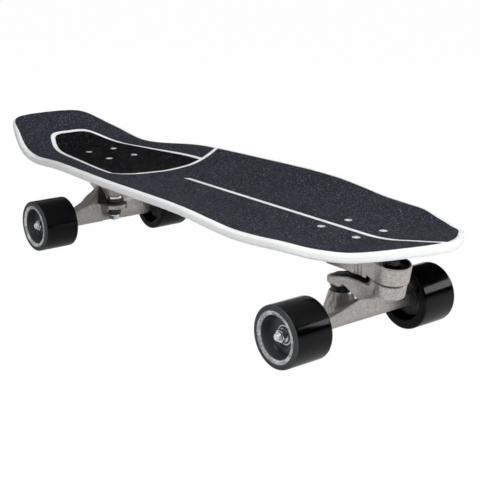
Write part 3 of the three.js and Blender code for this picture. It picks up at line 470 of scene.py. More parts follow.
# %% [markdown]
# The tyre's finish
# The tread of a poured wheel is glossy, and its outer face is dull and carries a
# pale ring. The turned mesh knows how far each point is from the axle and
# how high it is along it, so bands of finish can follow the wheel itself. Masks
# drawn over the wheel would have to be fitted to it, and these can't slip.

# %% Finishes that follow a turned piece
face_inner, ring_outer, wheel_radius, wheel_half = 24.5, 28.8, 35.0, 25.3


def tyre_finish():
    """Black gloss, a dull face and dish, and a ring where two bands of distance meet."""
    made = Finish("wheel_urethane", Specular_IOR_Level=0.17)
    away, high = made.attribute("from_axis"), made.attribute("height")
    on_face = made.between(high, 0.0, 1.0, wheel_half - 2.6, wheel_half - 1.2)
    edge = made.between(away, 0.0, 1.0, face_inner - 0.5, face_inner + 0.1)
    rim = made.between(away, 1.0, 0.0, ring_outer - 0.2, ring_outer + 0.4)
    ring_wear = made.blend(
        1.0, made.ramp(made.noise(2.0, 6), [(0.38, 0.5), (0.50, 1.0)]),
        made.ramp(made.noise(14, 3), [(0.42, 0.62), (0.56, 1.15)]), "MULTIPLY")
    ring = made.sums("MULTIPLY", made.sums("MULTIPLY", edge, rim), on_face)
    black = made.ramp(made.noise(14, 4), [
        (0.3, (0.0004, 0.0004, 0.0005)), (0.7, (0.001, 0.001, 0.0013))])
    dish = made.sums("MULTIPLY", made.between(high, 0.0, 1.0, -1.0, 1.0),
                     made.between(away, 1.0, 0.0, face_inner - 0.4, face_inner + 0.2))
    face = made.blend(made.sums("MAXIMUM", on_face, dish), black, (0.046, 0.050, 0.053))
    pale = made.blend(1.0, (0.66, 0.68, 0.69), ring_wear, "MULTIPLY")
    made.wire("Base Color", made.blend(ring, face, pale))
    gloss = made.between(made.noise(9, 6), 0.08, 0.15, 0.3, 0.7)
    made.wire("Roughness", made.blend(on_face, gloss, 0.48))
    made.bump(made.noise(1.4, 3), 0.03, 0.3)
    return made.material


def bearing_finish(name, steel, rough):
    """Steel rings with a dark green-grey seal between them."""
    made = Finish(name, IOR=1.5)
    away = made.attribute("from_axis")
    seal = made.sums("MULTIPLY", made.between(away, 0.0, 1.0, 6.2, 6.4),
                     made.between(away, 1.0, 0.0, 9.5, 9.7))
    speck = made.ramp(made.noise(1.1, 5), [(0.3, (0.09, 0.115, 0.11)), (0.7, (0.21, 0.245, 0.24))])
    made.wire("Base Color", made.blend(seal, steel, speck))
    made.wire("Metallic", made.sums("SUBTRACT", 1.0, seal))
    made.wire("Roughness", made.between(seal, rough, 0.5))
    made.bump(made.noise(0.9, 3), 0.03, 0.4)
    return made.material


urethane = tyre_finish()
bearing_steel = bearing_finish("bearing_seal", (0.55, 0.56, 0.57), 0.22)
# The inner bearings take a darker copy of the bearing finish: painted shade on the wheel's inner
# side.
shaded_inner_bearing = bearing_finish("shaded_inner_bearing", (0.07, 0.07, 0.072), 0.45)
core_plastic = plain_finish("core_plastic", (0.030, 0.033, 0.036), (0.085, 0.092, 0.098), 0.42)
cup_rubber = plain_finish("cup_rubber", (0.012, 0.012, 0.014), (0.03, 0.03, 0.034), 0.5)

# %% [markdown]
# The deck's shape
# A deck is pressed from maple plies in a mould: flat along the middle, with its
# sides raised into a dish, a kick at the tail and a slight rise at the nose.
# Its height is one function of the place on it. The outline is a smooth curve
# through measured points, and the whole skin is a grid of rings: out from the
# middle line over the top, round the rail and back underneath.

# %% Sizes of the deck
bolt_wheelbase, nose_overhang, tail_overhang = 486.0, 139.7, 189.8
deck_width, deck_thick, rail_round = 251.0, 10.6, 4.0
front_height, rear_height = 82.5, 79.7
gap, plate_thick = 0.3, 7.0
kick_start, kick_bend, kick_grade = 48.3, 45.0, 0.29
rise_start, rise_bend, rise_grade = 23.7, 50.0, 0.2
dish_height, flat_share, dish_power = 14.8, 0.34, 1.7
half_length = (bolt_wheelbase + nose_overhang + tail_overhang) / 2
half_width = deck_width / 2
front_bolts = half_length - nose_overhang
rear_bolts = front_bolts - bolt_wheelbase
outline_shares = [
    (-1, 0), (-0.996, 0.25), (-0.982, 0.43), (-0.957, 0.513), (-0.915, 0.576),
    (-0.768, 0.735), (-0.67, 0.778), (-0.577, 0.805), (-0.498, 0.842), (-0.4, 0.903),
    (-0.25, 0.952), (0.02, 0.99), (0.311, 1), (0.5, 0.976), (0.605, 0.937),
    (0.685, 0.888), (0.757, 0.806), (0.827, 0.7), (0.894, 0.553), (0.945, 0.355),
    (0.983, 0.165), (1, 0)]
concave_shares = [
    (-0.65, 0), (-0.577, 0.135), (-0.523, 0.31), (-0.425, 0.62), (-0.327, 0.78),
    (-0.08, 0.89), (0.188, 1), (0.311, 0.92), (0.409, 0.68), (0.507, 0.43),
    (0.6, 0.44), (0.68, 0.5), (0.777, 0.27), (0.863, 0)]
print("length", 2 * half_length, "bolts at", front_bolts, rear_bolts)

# %% The outline
def smooth_curve(points, steps):
    """Points on a curve through the given points; knots are spaced by root chord length."""
    p = np.asarray(points, float)
    p = np.vstack([2 * p[0] - p[1], p, 2 * p[-1] - p[-2]])
    p0, p1, p2, p3 = (p[k:len(p) - 3 + k, None, :] for k in range(4))
    d0, d1, d2 = (np.sqrt(np.linalg.norm(b - a, axis=2, keepdims=True))
                  for a, b in ((p0, p1), (p1, p2), (p2, p3)))
    m1 = ((p1 - p0) / d0 - (p2 - p0) / (d0 + d1) + (p2 - p1) / d1) * d1
    m2 = ((p2 - p1) / d1 - (p3 - p1) / (d1 + d2) + (p3 - p2) / d2) * d1
    t = (np.arange(steps) / steps)[None, :, None]
    run = (p1 + m1 * t + (-3 * p1 + 3 * p2 - 2 * m1 - m2) * t ** 2
           + (2 * p1 - 2 * p2 + m1 + m2) * t ** 3)
    return np.vstack([run.reshape(-1, p.shape[1]), p[-2]])


half_edge = smooth_curve(outline_shares, 10) * [half_length, half_width]
half_edge[:, 1] = np.minimum(half_edge[:, 1], half_width)
slope = np.gradient(half_edge, axis=0)
edge_normal = np.stack([-slope[:, 1], slope[:, 0]], axis=1)
edge_normal /= np.linalg.norm(edge_normal, axis=1)[:, None]
edge_normal[0], edge_normal[-1] = (-1, 0), (1, 0)


def outline(inset):
    """Closed outline of the deck, moved in by a distance, or by one for each point."""
    half = half_edge - edge_normal * inset
    half[[0, -1], 1] = 0
    return np.vstack([half, half[-2:0:-1] * [1, -1]])


print("outline points", len(outline(0)))

# %% Height of the deck's top
def along(table, place):
    """Smooth value along a table of (place, value) pairs, level at both ends."""
    at, value = np.asarray(table, float).T
    lean = np.zeros_like(value)
    lean[1:-1] = (value[2:] - value[:-2]) / (at[2:] - at[:-2])
    place = np.clip(place, at[0], at[-1])
    i = np.clip(np.searchsorted(at, place, side="right") - 1, 0, len(at) - 2)
    span = at[i + 1] - at[i]
    t = (place - at[i]) / span
    return ((2 * t ** 3 - 3 * t ** 2 + 1) * value[i] + (t ** 3 - 2 * t ** 2 + t) * span * lean[i]
            + (3 * t ** 2 - 2 * t ** 3) * value[i + 1] + (t ** 3 - t ** 2) * span * lean[i + 1])


def bend_up(past, bend, grade):
    """Height past the start of a bend: a parabola that runs into a straight slope."""
    curve = grade * past ** 2 / (2 * bend)
    return np.where(past <= 0, 0.0, np.where(past < bend, curve, grade * (past - bend / 2)))


def top_at(x, y):
    """Height of the deck's top: its slope, kick and nose rise, and the dish across it."""
    middle = (wheel_radius + rear_height + deck_thick
              + (front_height - rear_height) / bolt_wheelbase * (x - rear_bolts)
              + bend_up(rear_bolts - kick_start - x, kick_bend, kick_grade)
              + bend_up(x - front_bolts - rise_start, rise_bend, rise_grade))
    half = np.interp(x, half_edge[:, 0], half_edge[:, 1])
    share = np.minimum(1.0, np.abs(y) / np.maximum(half, 1e-6))
    dish = (np.maximum(0, share - flat_share) / (1 - flat_share)) ** dish_power
    return middle + dish_height * along(concave_shares, x / half_length) * dish


print("height at the middle", round(float(top_at(0.0, 0.0)), 2))

# %% Make the deck
end_fan = 60.0                    # the middle line stops this far short of each end
rail_start = outline(rail_round)
middle_x = np.clip(rail_start[:, 0], end_fan - half_length, half_length - end_fan)
shares = np.linspace(0, 1, 25)[:, None]
ring_x = middle_x + (rail_start[:, 0] - middle_x) * shares
ring_y = rail_start[:, 1] * shares
ring_z = top_at(ring_x, ring_y)
top_rings = np.stack([ring_x, ring_y, ring_z], axis=2)
edge_z = ring_z[-1]
rail_angle = np.linspace(0, math.pi, 17)
rail_rings = []
for angle in rail_angle:
    shape = outline(rail_round * (1 - math.sin(angle)))
    drop = rail_round if angle <= math.pi / 2 else deck_thick - rail_round
    rail_rings.append(np.column_stack([shape, edge_z - drop + rail_round * math.cos(angle)]))
    if abs(angle - math.pi / 2) < 1e-6:
        low = edge_z - deck_thick + rail_round
        rail_rings.append(np.column_stack([shape, low]))
under_rings = (top_rings - [0, 0, deck_thick])[::-1]
deck_rings = np.concatenate([top_rings, np.array(rail_rings), under_rings])
deck = put("deck_lacquered", deck_rings, grid_faces(
    len(deck_rings), deck_rings.shape[1], wrap_columns=True), crisp=50)
dress(deck, "board", "deck", lacquer)
print("deck", made_pieces[-1])

# %% [markdown]
# The grip
# Sandpaper is one sheet cut to a pattern: a front panel that a bare stripe splits
# down its middle, a tail panel, and a pad set into it, with holes for the bolts.
# All the cuts are lines on the deck's plan, so one triangulation of the plan that
# keeps every line as an edge gives all the panels at once. Each triangle is then
# given to a panel by where its middle lies, and each panel is raised onto the deck.

# %% Sizes of the grip
grip_inset, grip_lift, stripe, seam = 6.5, 0.45, 7.4, 1.2
stringer_y, stringer_start, stringer_slant = -3.7, 183.0, 6.0
stringer_from = rear_bolts + stringer_start
seam_to, seam_run = -77.0, 8.0
pad_length, pad_half = 234.0, 74.0
arc_front, arc_fall, arc_power = 135.4, 39.5, 1.54
tail_start, tail_run, tail_gain = -0.86, 0.08, 3.0
pad_shares = [
    (1, 0), (0.998, 0.26), (0.97, 0.419), (0.889, 0.554), (0.799, 0.655), (0.67, 0.745),
    (0.541, 0.808), (0.438, 0.85), (0.254, 0.94), (0.13, 0.985), (0, 1)]
bolts_along, bolts_across, hole_radius = 54.0, 41.3, 4.75
bolt_places = [
    (middle + sx * bolts_along / 2, sy * bolts_across / 2)
    for middle in (front_bolts, rear_bolts) for sx in (1, -1) for sy in (1, -1)]
print("bolt places", len(bolt_places))

# %% Arc and pad
def arc_at(y):
    """Place along the deck of the curved stripe: it falls back as a power of |y|."""
    fall = arc_fall * (np.abs(y) / (half_width - grip_inset)) ** arc_power
    return rear_bolts + arc_front - fall


def arc_breadth(y):
    """The stripe's width, narrowing to a seam beside the pad on the right."""
    t = np.clip((y - seam_to) / seam_run, 0, 1)
    return seam + (stripe - seam) * t * t * (3 - 2 * t)


def pad_outline(margin):
    """The pad's outline grown or shrunk by a margin, left open ahead of the arc."""
    half = smooth_curve(pad_shares, 5) * [-(pad_length + margin), pad_half + margin]
    half = half + [float(arc_at(pad_half)), 0]
    ahead = float(arc_at(0.0)) + 2
    far = half[::-1] * [1, -1]
    return np.vstack([far, half[1:], [[ahead, pad_half + margin], [ahead, -pad_half - margin]]])


print("arc from", round(float(arc_at(0)), 1), "back to", round(float(arc_at(half_width)), 1))

# %% Lines of the pattern
line_step, plan_step, line_room = 4.0, 5.0, 2.2


def inside(polygon, points):
    """True where a line from the point along X crosses the polygon an odd number of times."""
    a, b = polygon, np.roll(polygon, -1, axis=0)
    x, y = points[:, :1], points[:, 1:]
    crosses = (a[:, 1] > y) != (b[:, 1] > y)
    rise = np.where(b[:, 1] == a[:, 1], 1e-12, b[:, 1] - a[:, 1])
    at = a[:, 0] + (y - a[:, 1]) / rise * (b[:, 0] - a[:, 0])
    return (crosses & (x < at)).sum(axis=1) % 2 == 1


def fill_in(line, closed):
    """The same line, each stretch cut in equal steps no longer than the line step."""
    stretch = (np.roll(line, -1, axis=0) - line)[:None if closed else -1]
    count = np.maximum(1, np.ceil(np.hypot(*stretch.T) / line_step)).astype(int)
    owner = np.repeat(np.arange(len(stretch)), count)
    share = (np.arange(len(owner)) - (np.cumsum(count) - count)[owner]) / count[owner]
    points = line[owner] + stretch[owner] * share[:, None]
    return points if closed else np.vstack([points, line[-1:]])


at_tail = np.clip((tail_start - half_edge[:, :1] / half_length) / tail_run, 0, 1)
rim = outline(grip_inset - tail_gain * at_tail)
across = np.linspace(-half_width, half_width, 121)
stringer = np.array([
    [stringer_from, stringer_y - stripe / 2], [half_length, stringer_y - stripe / 2],
    [half_length, stringer_y + stripe / 2],
    [stringer_from + stringer_slant, stringer_y + stripe / 2]])
around = np.arange(24) * 2 * math.pi / 24
hole = hole_radius * np.column_stack([np.cos(around), np.sin(around)])
closed_lines = [rim, stringer, pad_outline(stripe / 2), pad_outline(-stripe / 2)]
closed_lines += [hole + place for place in bolt_places]
open_lines = [np.column_stack([arc_at(across) + side * arc_breadth(across) / 2, across])
              for side in (1, -1)]
print("grip lines", len(closed_lines) + len(open_lines))

# %% Triangulate the plan once
plan_points, plan_edges = [], []
for line, closed in [(line, True) for line in closed_lines] + [
        (line, False) for line in open_lines]:
    line = fill_in(line, closed)
    start = sum(map(len, plan_points))
    index = np.arange(start, start + len(line))
    ends = np.roll(index, -1)
    edges = np.column_stack([index, ends])
    plan_edges.append(edges if closed else edges[:-1])
    plan_points.append(line)
line_points = np.vstack(plan_points)
gx, gy = np.meshgrid(np.arange(-400, 401, plan_step), np.arange(-120, 121, plan_step),
                     indexing="ij")
gx = gx + np.where(np.arange(gy.shape[1]) % 2, plan_step / 2, 0)
filler = np.column_stack([gx.ravel(), gy.ravel()])
filler = filler[inside(rim, filler)]
# How far each point is from the lines, in forty parts to spare memory
nearest = np.concatenate([
    np.hypot(part[:, :1] - line_points[:, 0], part[:, 1:] - line_points[:, 1]).min(axis=1)
    for part in np.array_split(filler, 40)])
filler = filler[nearest > line_room]
flat, _, flat_faces, _, _, _ = delaunay_2d_cdt(
    np.vstack([line_points, filler]).tolist(), np.vstack(plan_edges).tolist(), [], 0, 1e-4)
flat = np.array([tuple(p) for p in flat])
flat_faces = np.array(flat_faces)
centres = flat[flat_faces].mean(axis=1)
in_rim = inside(rim, centres)
in_stringer = inside(stringer, centres)
in_hole = np.any([np.hypot(*(centres - place).T) < hole_radius for place in bolt_places], axis=0)
ahead = centres[:, 0] > arc_at(centres[:, 1]) + arc_breadth(centres[:, 1]) / 2
behind = centres[:, 0] < arc_at(centres[:, 1]) - arc_breadth(centres[:, 1]) / 2
outside_pad = ~inside(closed_lines[2], centres)
in_pad = inside(closed_lines[3], centres)
print("plan triangles", len(flat_faces))

# %% Raise the panels onto the deck
sunk = 0.05                       # a panel's underside lies this deep in the lacquer


def panel(name, chosen, node, finish):
    """A sheet of even thickness: the chosen triangles above, below, and walls between."""
    faces = flat_faces[chosen]
    used, faces = np.unique(faces, return_inverse=True)
    faces = faces.reshape(-1, 3)
    x, y = flat[used].T
    low = np.column_stack([x, y, top_at(x, y) - sunk])
    high = low + [0, 0, grip_lift + sunk]
    edges = np.concatenate([faces[:, [0, 1]], faces[:, [1, 2]], faces[:, [2, 0]]])
    key = np.sort(edges, axis=1)
    _, where, count = np.unique(key, axis=0, return_inverse=True, return_counts=True)
    rim_edges = edges[count[where.reshape(-1)] == 1]
    n = len(used)
    a, b = rim_edges.T
    walls = halves(np.column_stack([b, a, a + n, b + n]))
    triangles = np.concatenate([faces + n, faces[:, ::-1], walls])
    piece = put(name, np.vstack([low, high]), triangles, crisp=40)
    dress(piece, "board", node, finish)
    print(made_pieces[-1])


panel("grip_front_panel", in_rim & ahead & ~in_stringer & ~in_hole, "grip_front", grit)
panel("grip_tail_panel", in_rim & behind & outside_pad, "grip_tail", grit)
panel("grip_tail_pad", in_rim & behind & in_pad & ~in_hole, "grip_pad", pad_grit)

# %% [markdown]
# Deck bolts
# Each truck hangs on four countersunk bolts with a cross recess, held by lock nuts
# below the plate. The recess could be cut with a boolean, which leaves ragged faces,
# so the head's top is a disc whose depth follows two crossed slots, and whose colour
# is painted dark there as painted shade. The rest is turned, and the thread is a
# ripple that climbs as it goes round.

# %% Threads and the recess
def thread(pitch, depth, low, high):
    """Ripple of a screw thread: a triangle wave of height over pitch less turns."""
    def ripple(angle, height):
        turns = height / pitch - angle / (2 * math.pi)
        wave = 2 * np.abs(turns - np.floor(turns + 0.5))
        ends = np.clip((height - low) / pitch, 0, 1) * np.clip((high - height) / pitch, 0, 1)
        return depth * wave * ends
    return ripple


def threaded(radius, low, high, pitch):
    """Profile of a threaded end, from low to high, with six rings to each turn."""
    count = max(4, int(abs(high - low) / pitch * 6))
    return [(radius, z) for z in np.linspace(low, high, count)]


recess_reach, recess_depth, half_slot, slot_wall, slot_end = 3.3, 1.2, 0.95, 0.35, 1.4


def cross_recess(x, y):
    """Depth of a cross recess: the deeper of two slots, each sloped at its walls and ends."""
    def slot(u, v):
        wall = np.clip((half_slot + slot_wall - np.abs(v)) / slot_wall, 0, 1)
        return wall * np.clip((recess_reach - np.abs(u)) / slot_end, 0, 1)
    return recess_depth * np.maximum(slot(x, y), slot(y, x))


print("recess depth at its middle", float(cross_recess(0, 0)))

# %% Make the deck bolts
bolt_shank, nut_radius, nut_height, tip_length = 2.4, 5.4, 4.4, 3.2
bolt_pitch, bolt_facets = 0.8, 48


def deck_bolt(name, place, nut_top):
    """A disc with a recess, then a turned profile of cone, shank, nut and threaded tip."""
    x, y = place
    head_top = float(top_at(x, y)) + grip_lift
    rings = np.concatenate([np.linspace(0, 3.0, 13), [3.6, 4.1]])
    angle = np.arange(bolt_facets) * 2 * math.pi / bolt_facets
    rr, aa = np.meshgrid(rings, angle, indexing="ij")
    px, py = rr * np.cos(aa), rr * np.sin(aa)
    face = np.stack([px, py, head_top - cross_recess(px, py)], axis=2)
    nut_low = nut_top - nut_height
    tip = nut_low - tip_length
    profile = np.array([
        (4.4, head_top - 0.12), (4.5, head_top - 0.4), (4.45, head_top - 0.9),
        (bolt_shank, head_top - 3.1), (bolt_shank, nut_top + 0.5), (5.0, nut_top),
        (nut_radius, nut_top - 0.6), (nut_radius, nut_low + 0.6), (5.0, nut_low),
        (3.3, nut_low - 0.1), (bolt_shank, nut_low - 0.2)]
        + threaded(bolt_shank, nut_low - 0.25, tip + 0.5, bolt_pitch) + [(1.9, tip), (0.0, tip)])
    radius = swept_radius(profile, angle, hexagon(nut_radius, nut_low, nut_top),
                          thread(bolt_pitch, 0.35, tip + 0.3, nut_low - 0.25))
    body = np.stack([radius * np.cos(angle), radius * np.sin(angle),
                     np.repeat(profile[:, 1:], bolt_facets, axis=1)], axis=2)
    points = np.concatenate([face, body]) + [x, y, 0]
    # Mask of the recess, where the head's colour is painted dark as painted shade.
    recess = np.concatenate([np.minimum(1, cross_recess(px, py) / 0.4), 0 * body[..., 0]])
    return put(name, points, grid_faces(len(points), bolt_facets, wrap_columns=True), crisp=32,
               attributes={"recess": recess})


for number, place in enumerate(bolt_places):
    end, height = ("front", front_height) if number < 4 else ("rear", rear_height)
    node = f"{end}_deck_bolt_{number % 4 + 1}"
    bolt = deck_bolt(node + "_dressed", place, wheel_radius + height - 2 * gap - plate_thick)
    dress(bolt, "board", node, zinc)
print("deck bolts", made_pieces[-1])

# %% [markdown]
# Wheels
# A wheel is poured urethane on a moulded core with two ball bearings. All of it
# is turned about the axle. The tread is straight with soft corners, the outer face
# drops in a cone to the core, and the lip carries a bevel. One profile turned about
# the axle keeps every ring true to it. Left and right wheels differ only in which
# way their outer face looks.

# %% Profiles of the wheel
wheel_middle, core_half, bearing_offset, axle_reach = 96.1, 12.3, 8.5, 119.7
front_axle, rear_axle = 15.1, 11.7


def mirrored(half):
    """A whole profile from its first half."""
    return half + [(r, -z) for r, z in half[::-1]]


tyre_profile = mirrored([
    (20.7, core_half), (22.0, core_half + 0.9), (24.3, 24.3), (25.3, wheel_half),
    (33.4, wheel_half), (34.6, 24.5), (wheel_radius, 22.6)])
core_profile = mirrored([
    (8.4, 4.7), (11.3, 4.7), (11.3, 11.6), (12.6, 11.6), (13.6, core_half),
    (19.2, core_half), (20.6, 12.2)])
bearing_profile = mirrored([
    (4.3, -3.5), (6.1, -3.5), (6.3, -3.1), (9.5, -3.1), (9.7, -3.5), (11.0, -3.5)])
# A washer, a chamfered hexagon and the round collar of a lock nut
nut_profile = [
    (4.3, 0), (7.6, 0), (7.6, 1.0), (6.789, 1.0), (7.3, 1.5), (7.3, 5.9), (6.716, 6.4),
    (5.694, 6.4), (5.402, 7.8), (4.3, 7.8)]
axle_pitch, thread_ends = 1.25, (axle_reach - 14, axle_reach - 0.8)
tip_rings = threaded(4.0, -thread_ends[1], -thread_ends[0], axle_pitch)
axle_profile = np.array(mirrored([(0, -axle_reach), (3.4, -axle_reach)] + tip_rings))


def both_threads(angle, height):
    """The thread's ripple at both ends of an axle."""
    near, far = (thread(axle_pitch, 0.45, *ends)(angle, height)
                 for ends in ((-thread_ends[1], -thread_ends[0]), thread_ends))
    return np.where(height < 0, near, far)


print("axle points", len(axle_profile))

# %% Make the wheels
for end, axle_x in (("front", front_bolts + front_axle), ("rear", rear_bolts - rear_axle)):
    for side, hand in (("left", 1), ("right", -1)):
        name, body = f"{end}_{side}", f"{end}_{side}_wheel"
        for piece, profile, out, facets, soft, node, finish, slot in (
                ("poured_tyre", tyre_profile, 0, 128, 0.8, "tyre", urethane, "urethane"),
                ("moulded_core", core_profile, 0, 96, 0.3, "core", core_plastic, "wheel_core"),
                ("outer_sealed_bearing", bearing_profile, bearing_offset, 64, 0.15,
                 "outer_bearing", bearing_steel, "bright_steel"),
                ("inner_sealed_bearing", bearing_profile, -bearing_offset, 64, 0.15,
                 "inner_bearing", shaded_inner_bearing, "bright_steel")):
            place = (axle_x, hand * (wheel_middle + out), wheel_radius)
            fit(f"{name}_{piece}", profile, place, (0, hand, 0), facets, soft, body,
                f"{name}_{node}", finish, slot)
        seat = (axle_x, hand * (wheel_middle + core_half), wheel_radius)
        fit(f"{name}_lock_nut", nut_profile, seat, (0, hand, 0), 72, 0.2, f"{end}_steering",
            f"{name}_axle_nut", chrome, "bright_steel", outline=hexagon(7.3, 1.05), crisp=28)
    fit(f"{end}_threaded_axle", axle_profile, (axle_x, 0, wheel_radius), (0, 1, 0), 40, 0,
        f"{end}_steering", f"{end}_axle", zinc, "zinc", ripple=both_threads)
print("wheels", made_pieces[-3:])

# %% [markdown]
# Castings as fields
# Trucks are cast aluminium: no edge is sharp, and where two forms meet there is a
# fillet. A grid of rings can't branch the way a casting does, so these pieces are
# made as fields: at every point of a fine lattice, a number that is negative
# inside the metal. Forms are joined by a soft minimum, which leaves the fillet, and
# the skin is drawn where the number is zero.

# %% Join and cut fields
def join(a, b, fillet=3.0):
    """Soft minimum: the smaller field, lowered where the two are within a fillet."""
    near = np.maximum(fillet - np.abs(a - b), 0) / fillet
    return np.minimum(a, b) - near * near * fillet / 4


def meet(a, b, edge=1.2):
    """Soft maximum: what lies inside both, with its edges rounded."""
    return -join(-a, -b, edge)


def cut(a, *tools, edge=0.7):
    """What lies inside the first field and outside the others."""
    for tool in tools:
        a = meet(a, -tool, edge)
    return a


def span(value, low, high):
    """Field of the slab between two values."""
    return np.maximum(low - value, value - high)


def outline_field(u, v, points):
    """Distance to a polygon's edge, negative inside it."""
    points = np.asarray(points, float)
    distance, inside_it = np.inf, False
    for (au, av), (bu, bv) in zip(points, np.roll(points, -1, axis=0)):
        eu, ev = bu - au, bv - av
        t = np.clip(((u - au) * eu + (v - av) * ev) / (eu * eu + ev * ev), 0, 1)
        distance = np.minimum(distance, np.hypot(u - au - t * eu, v - av - t * ev))
        if av != bv:
            crosses = ((av > v) != (bv > v)) & (u < au + (v - av) / (bv - av) * eu)
            inside_it = inside_it ^ crosses
    return np.where(inside_it, -distance, distance)


print("where two fields are 1.5, their join is", float(join(1.5, 1.5)))

# %% Draw the skin
hanger_step, plate_step = 0.95, 0.9


def skin(name, field, low, step, to_row, masks):
    """One point in each cell the zero crosses, and a quad round each crossed edge."""
    shape = np.array(field.shape)
    cells = tuple(shape - 1)
    total, count = np.zeros(cells + (3,)), np.zeros(cells)
    for corner in np.ndindex(2, 2, 2):
        for axis in (k for k in range(3) if corner[k] == 0):
            far = list(corner)
            far[axis] = 1
            fa, fb = (field[tuple(slice(o, n - 1 + o) for o, n in zip(at, shape))]
                      for at in (corner, far))
            crosses = (fa < 0) != (fb < 0)
            t = np.where(crosses, fa / np.where(crosses, fa - fb, 1), 0)
            count += crosses
            for k in range(3):
                total[..., k] += crosses * corner[k] + (t if k == axis else 0)
    active = count > 0
    index = np.full(cells, -1)
    index[active] = np.arange(active.sum())
    points = (np.argwhere(active) + total[active] / count[active][:, None]) * step + low
    quads = []
    for axis in range(3):
        order = [(axis + k) % 3 for k in range(3)]
        solid, cell = np.transpose(field, order) < 0, np.transpose(index, order)
        a, b = solid[:-1, 1:-1, 1:-1], solid[1:, 1:-1, 1:-1]
        ring = np.stack([cell[:, :-1, :-1], cell[:, 1:, :-1], cell[:, 1:, 1:],
                         cell[:, :-1, 1:]], axis=-1)
        quads += [ring[a & ~b], ring[b & ~a][:, ::-1]]
    attributes = {label: mask(*points.T) for label, mask in masks.items()}
    return put(name, to_row(points), halves(np.concatenate(quads)), 55, attributes)


def cast(name, body, node, form, low, high, step, to_row, **masks):
    """The skin of a form over a lattice between two corners, with masks for its finish."""
    axes = [np.arange(start, stop + step, step) for start, stop in zip(low, high)]
    x, y, z = np.meshgrid(*axes, indexing="ij", sparse=True)
    piece = skin(name, form(x, y, z), np.array(low, float), step, to_row, masks)
    dress(piece, body, node, casting)
    print(made_pieces[-1])


print("lattice steps", hanger_step, plate_step)

# %% Lines in space
class Line:
    """A line in space with fields of what is turned about it."""

    def __init__(self, place, direction):
        self.place = np.asarray(place, float)
        self.way = np.asarray(direction, float) / np.linalg.norm(direction)

    def reach(self, x, y, z):
        """How far along the line and how far from it each point is."""
        rel = [c - p for c, p in zip((x, y, z), self.place)]
        along_line = sum(r * w for r, w in zip(rel, self.way))
        square = sum(r * r for r in rel) - along_line ** 2
        return along_line, np.sqrt(np.maximum(square, 0))

    def bar(self, p, radius, low, high, edge=0.9):
        """A round bar: what is near the line and between two places along it."""
        along_line, away = self.reach(*p)
        return meet(away - radius, span(along_line, low, high), edge)

    def profile(self, p, points):
        """A closed profile of (distance, place along) pairs turned about the line."""
        along_line, away = self.reach(*p)
        return outline_field(away, along_line, points)


def front_row(points):
    """From the front truck's own places, out from its bolts and up from its axle."""
    return points + [front_bolts, 0, wheel_radius]


def rear_row(points):
    """The rear truck is turned end for end."""
    return points * [-1, -1, 1] + [rear_bolts, 0, wheel_radius]


print("trucks are measured from", front_row(np.zeros(3)), rear_row(np.zeros(3)))

# %% [markdown]
# Sizes of the trucks
# Both trucks are measured in the same way, out from the middle of their bolt
# pattern and up from the axle, so that what they share is written once. The sizes
# follow the packed model's, so every form lands on the solid it stands for or
# within a few millimetres of it.

# %% Sizes and lines of the trucks
deep = -60.0                      # a profile runs this far past its own axis
axle_bore, hanger_end, hanger_half = 4.3, 8.6, 82.2
cup_outer, cup_inner, housing, nose_radius = 7.3, 5.5, 10.2, 5.2
plate_half, plate_corner, bolt_room, socket_room = 28.0, 6.0, 2.7, 7.5
front_pin, front_seat, rear_pin, rear_seat = -13.3, 28.5, -3.7, 30.5
boss_tilt = math.radians(9)
swing_line = Line((58, 0, 51.3), (math.sin(boss_tilt), 0, math.cos(boss_tilt)))
front_lean = Line((38, 0, 33.5), (51.3, 0, 22.5))
rear_lean = Line((34.3, 0, 37), (38, 0, 26))
front_pin_line, rear_pin_line = (Line((x, 0, 0), (0, 0, 1)) for x in (front_pin, rear_pin))
front_axle_line, rear_axle_line = (Line((x, 0, 0), (0, 1, 0)) for x in (front_axle, rear_axle))
spring_height = 63.8
spring_line = Line((0, 0, spring_height), (1, 0, 0))
quarter = np.linspace(0, math.pi / 2, 7)
bolt_lines = [Line((sx * bolts_along / 2, sy * bolts_across / 2, 0), (0, 0, 1))
              for sx in (1, -1) for sy in (1, -1)]
print("lean line of the front truck", np.round(front_lean.way, 4))

# %% Forms that both trucks share
def nose_field(p, line, root):
    """The cone and round nose of a hanger."""
    tip = [(nose_radius * math.cos(a), nose_radius * math.sin(a)) for a in quarter]
    return line.profile(p, [
        (deep, -root), (7.2, -root), (nose_radius, 10 - root)] + tip + [(deep, nose_radius)])


def seat_bores(p, line):
    """The bore for a pivot cup and the way in for the nose."""
    return [line.bar(p, 7.6, -9, 7.6), line.bar(p, 7.1, -30, -7)]


def plate_field(p, back_end, front_end, top):
    """A flat plate with rounded corners, drawn in slightly at its edge."""
    x, y, z = p
    middle, half = (back_end + front_end) / 2, (front_end - back_end) / 2
    dx = np.abs(x - middle) - half + plate_corner
    dy = np.abs(y) - plate_half + plate_corner
    flat_form = np.hypot(np.maximum(dx, 0), np.maximum(dy, 0)) + np.minimum(
        np.maximum(dx, dy), 0) - plate_corner
    return meet(flat_form, span(z, top - plate_thick, top), 1.6)


def bolt_cuts(p, under, low):
    """Through holes for four deck bolts and room for a socket round each nut."""
    holes = [line.bar(p, bolt_room, -10, 120) for line in bolt_lines]
    return holes + [line.bar(p, socket_room, low, under) for line in bolt_lines]


def tangent_plan(x, y, x0, r0, x1, r1):
    """Two circles and their common tangents, seen from above: a cone of radii."""
    t = np.clip((x - x0) / (x1 - x0), 0, 1)
    return np.hypot(x - (x0 + t * (x1 - x0)), y) - (r0 + t * (r1 - r0))


print("field 3 mm below a plate", float(plate_field((0, 0, 10), -38, 42, 20)))

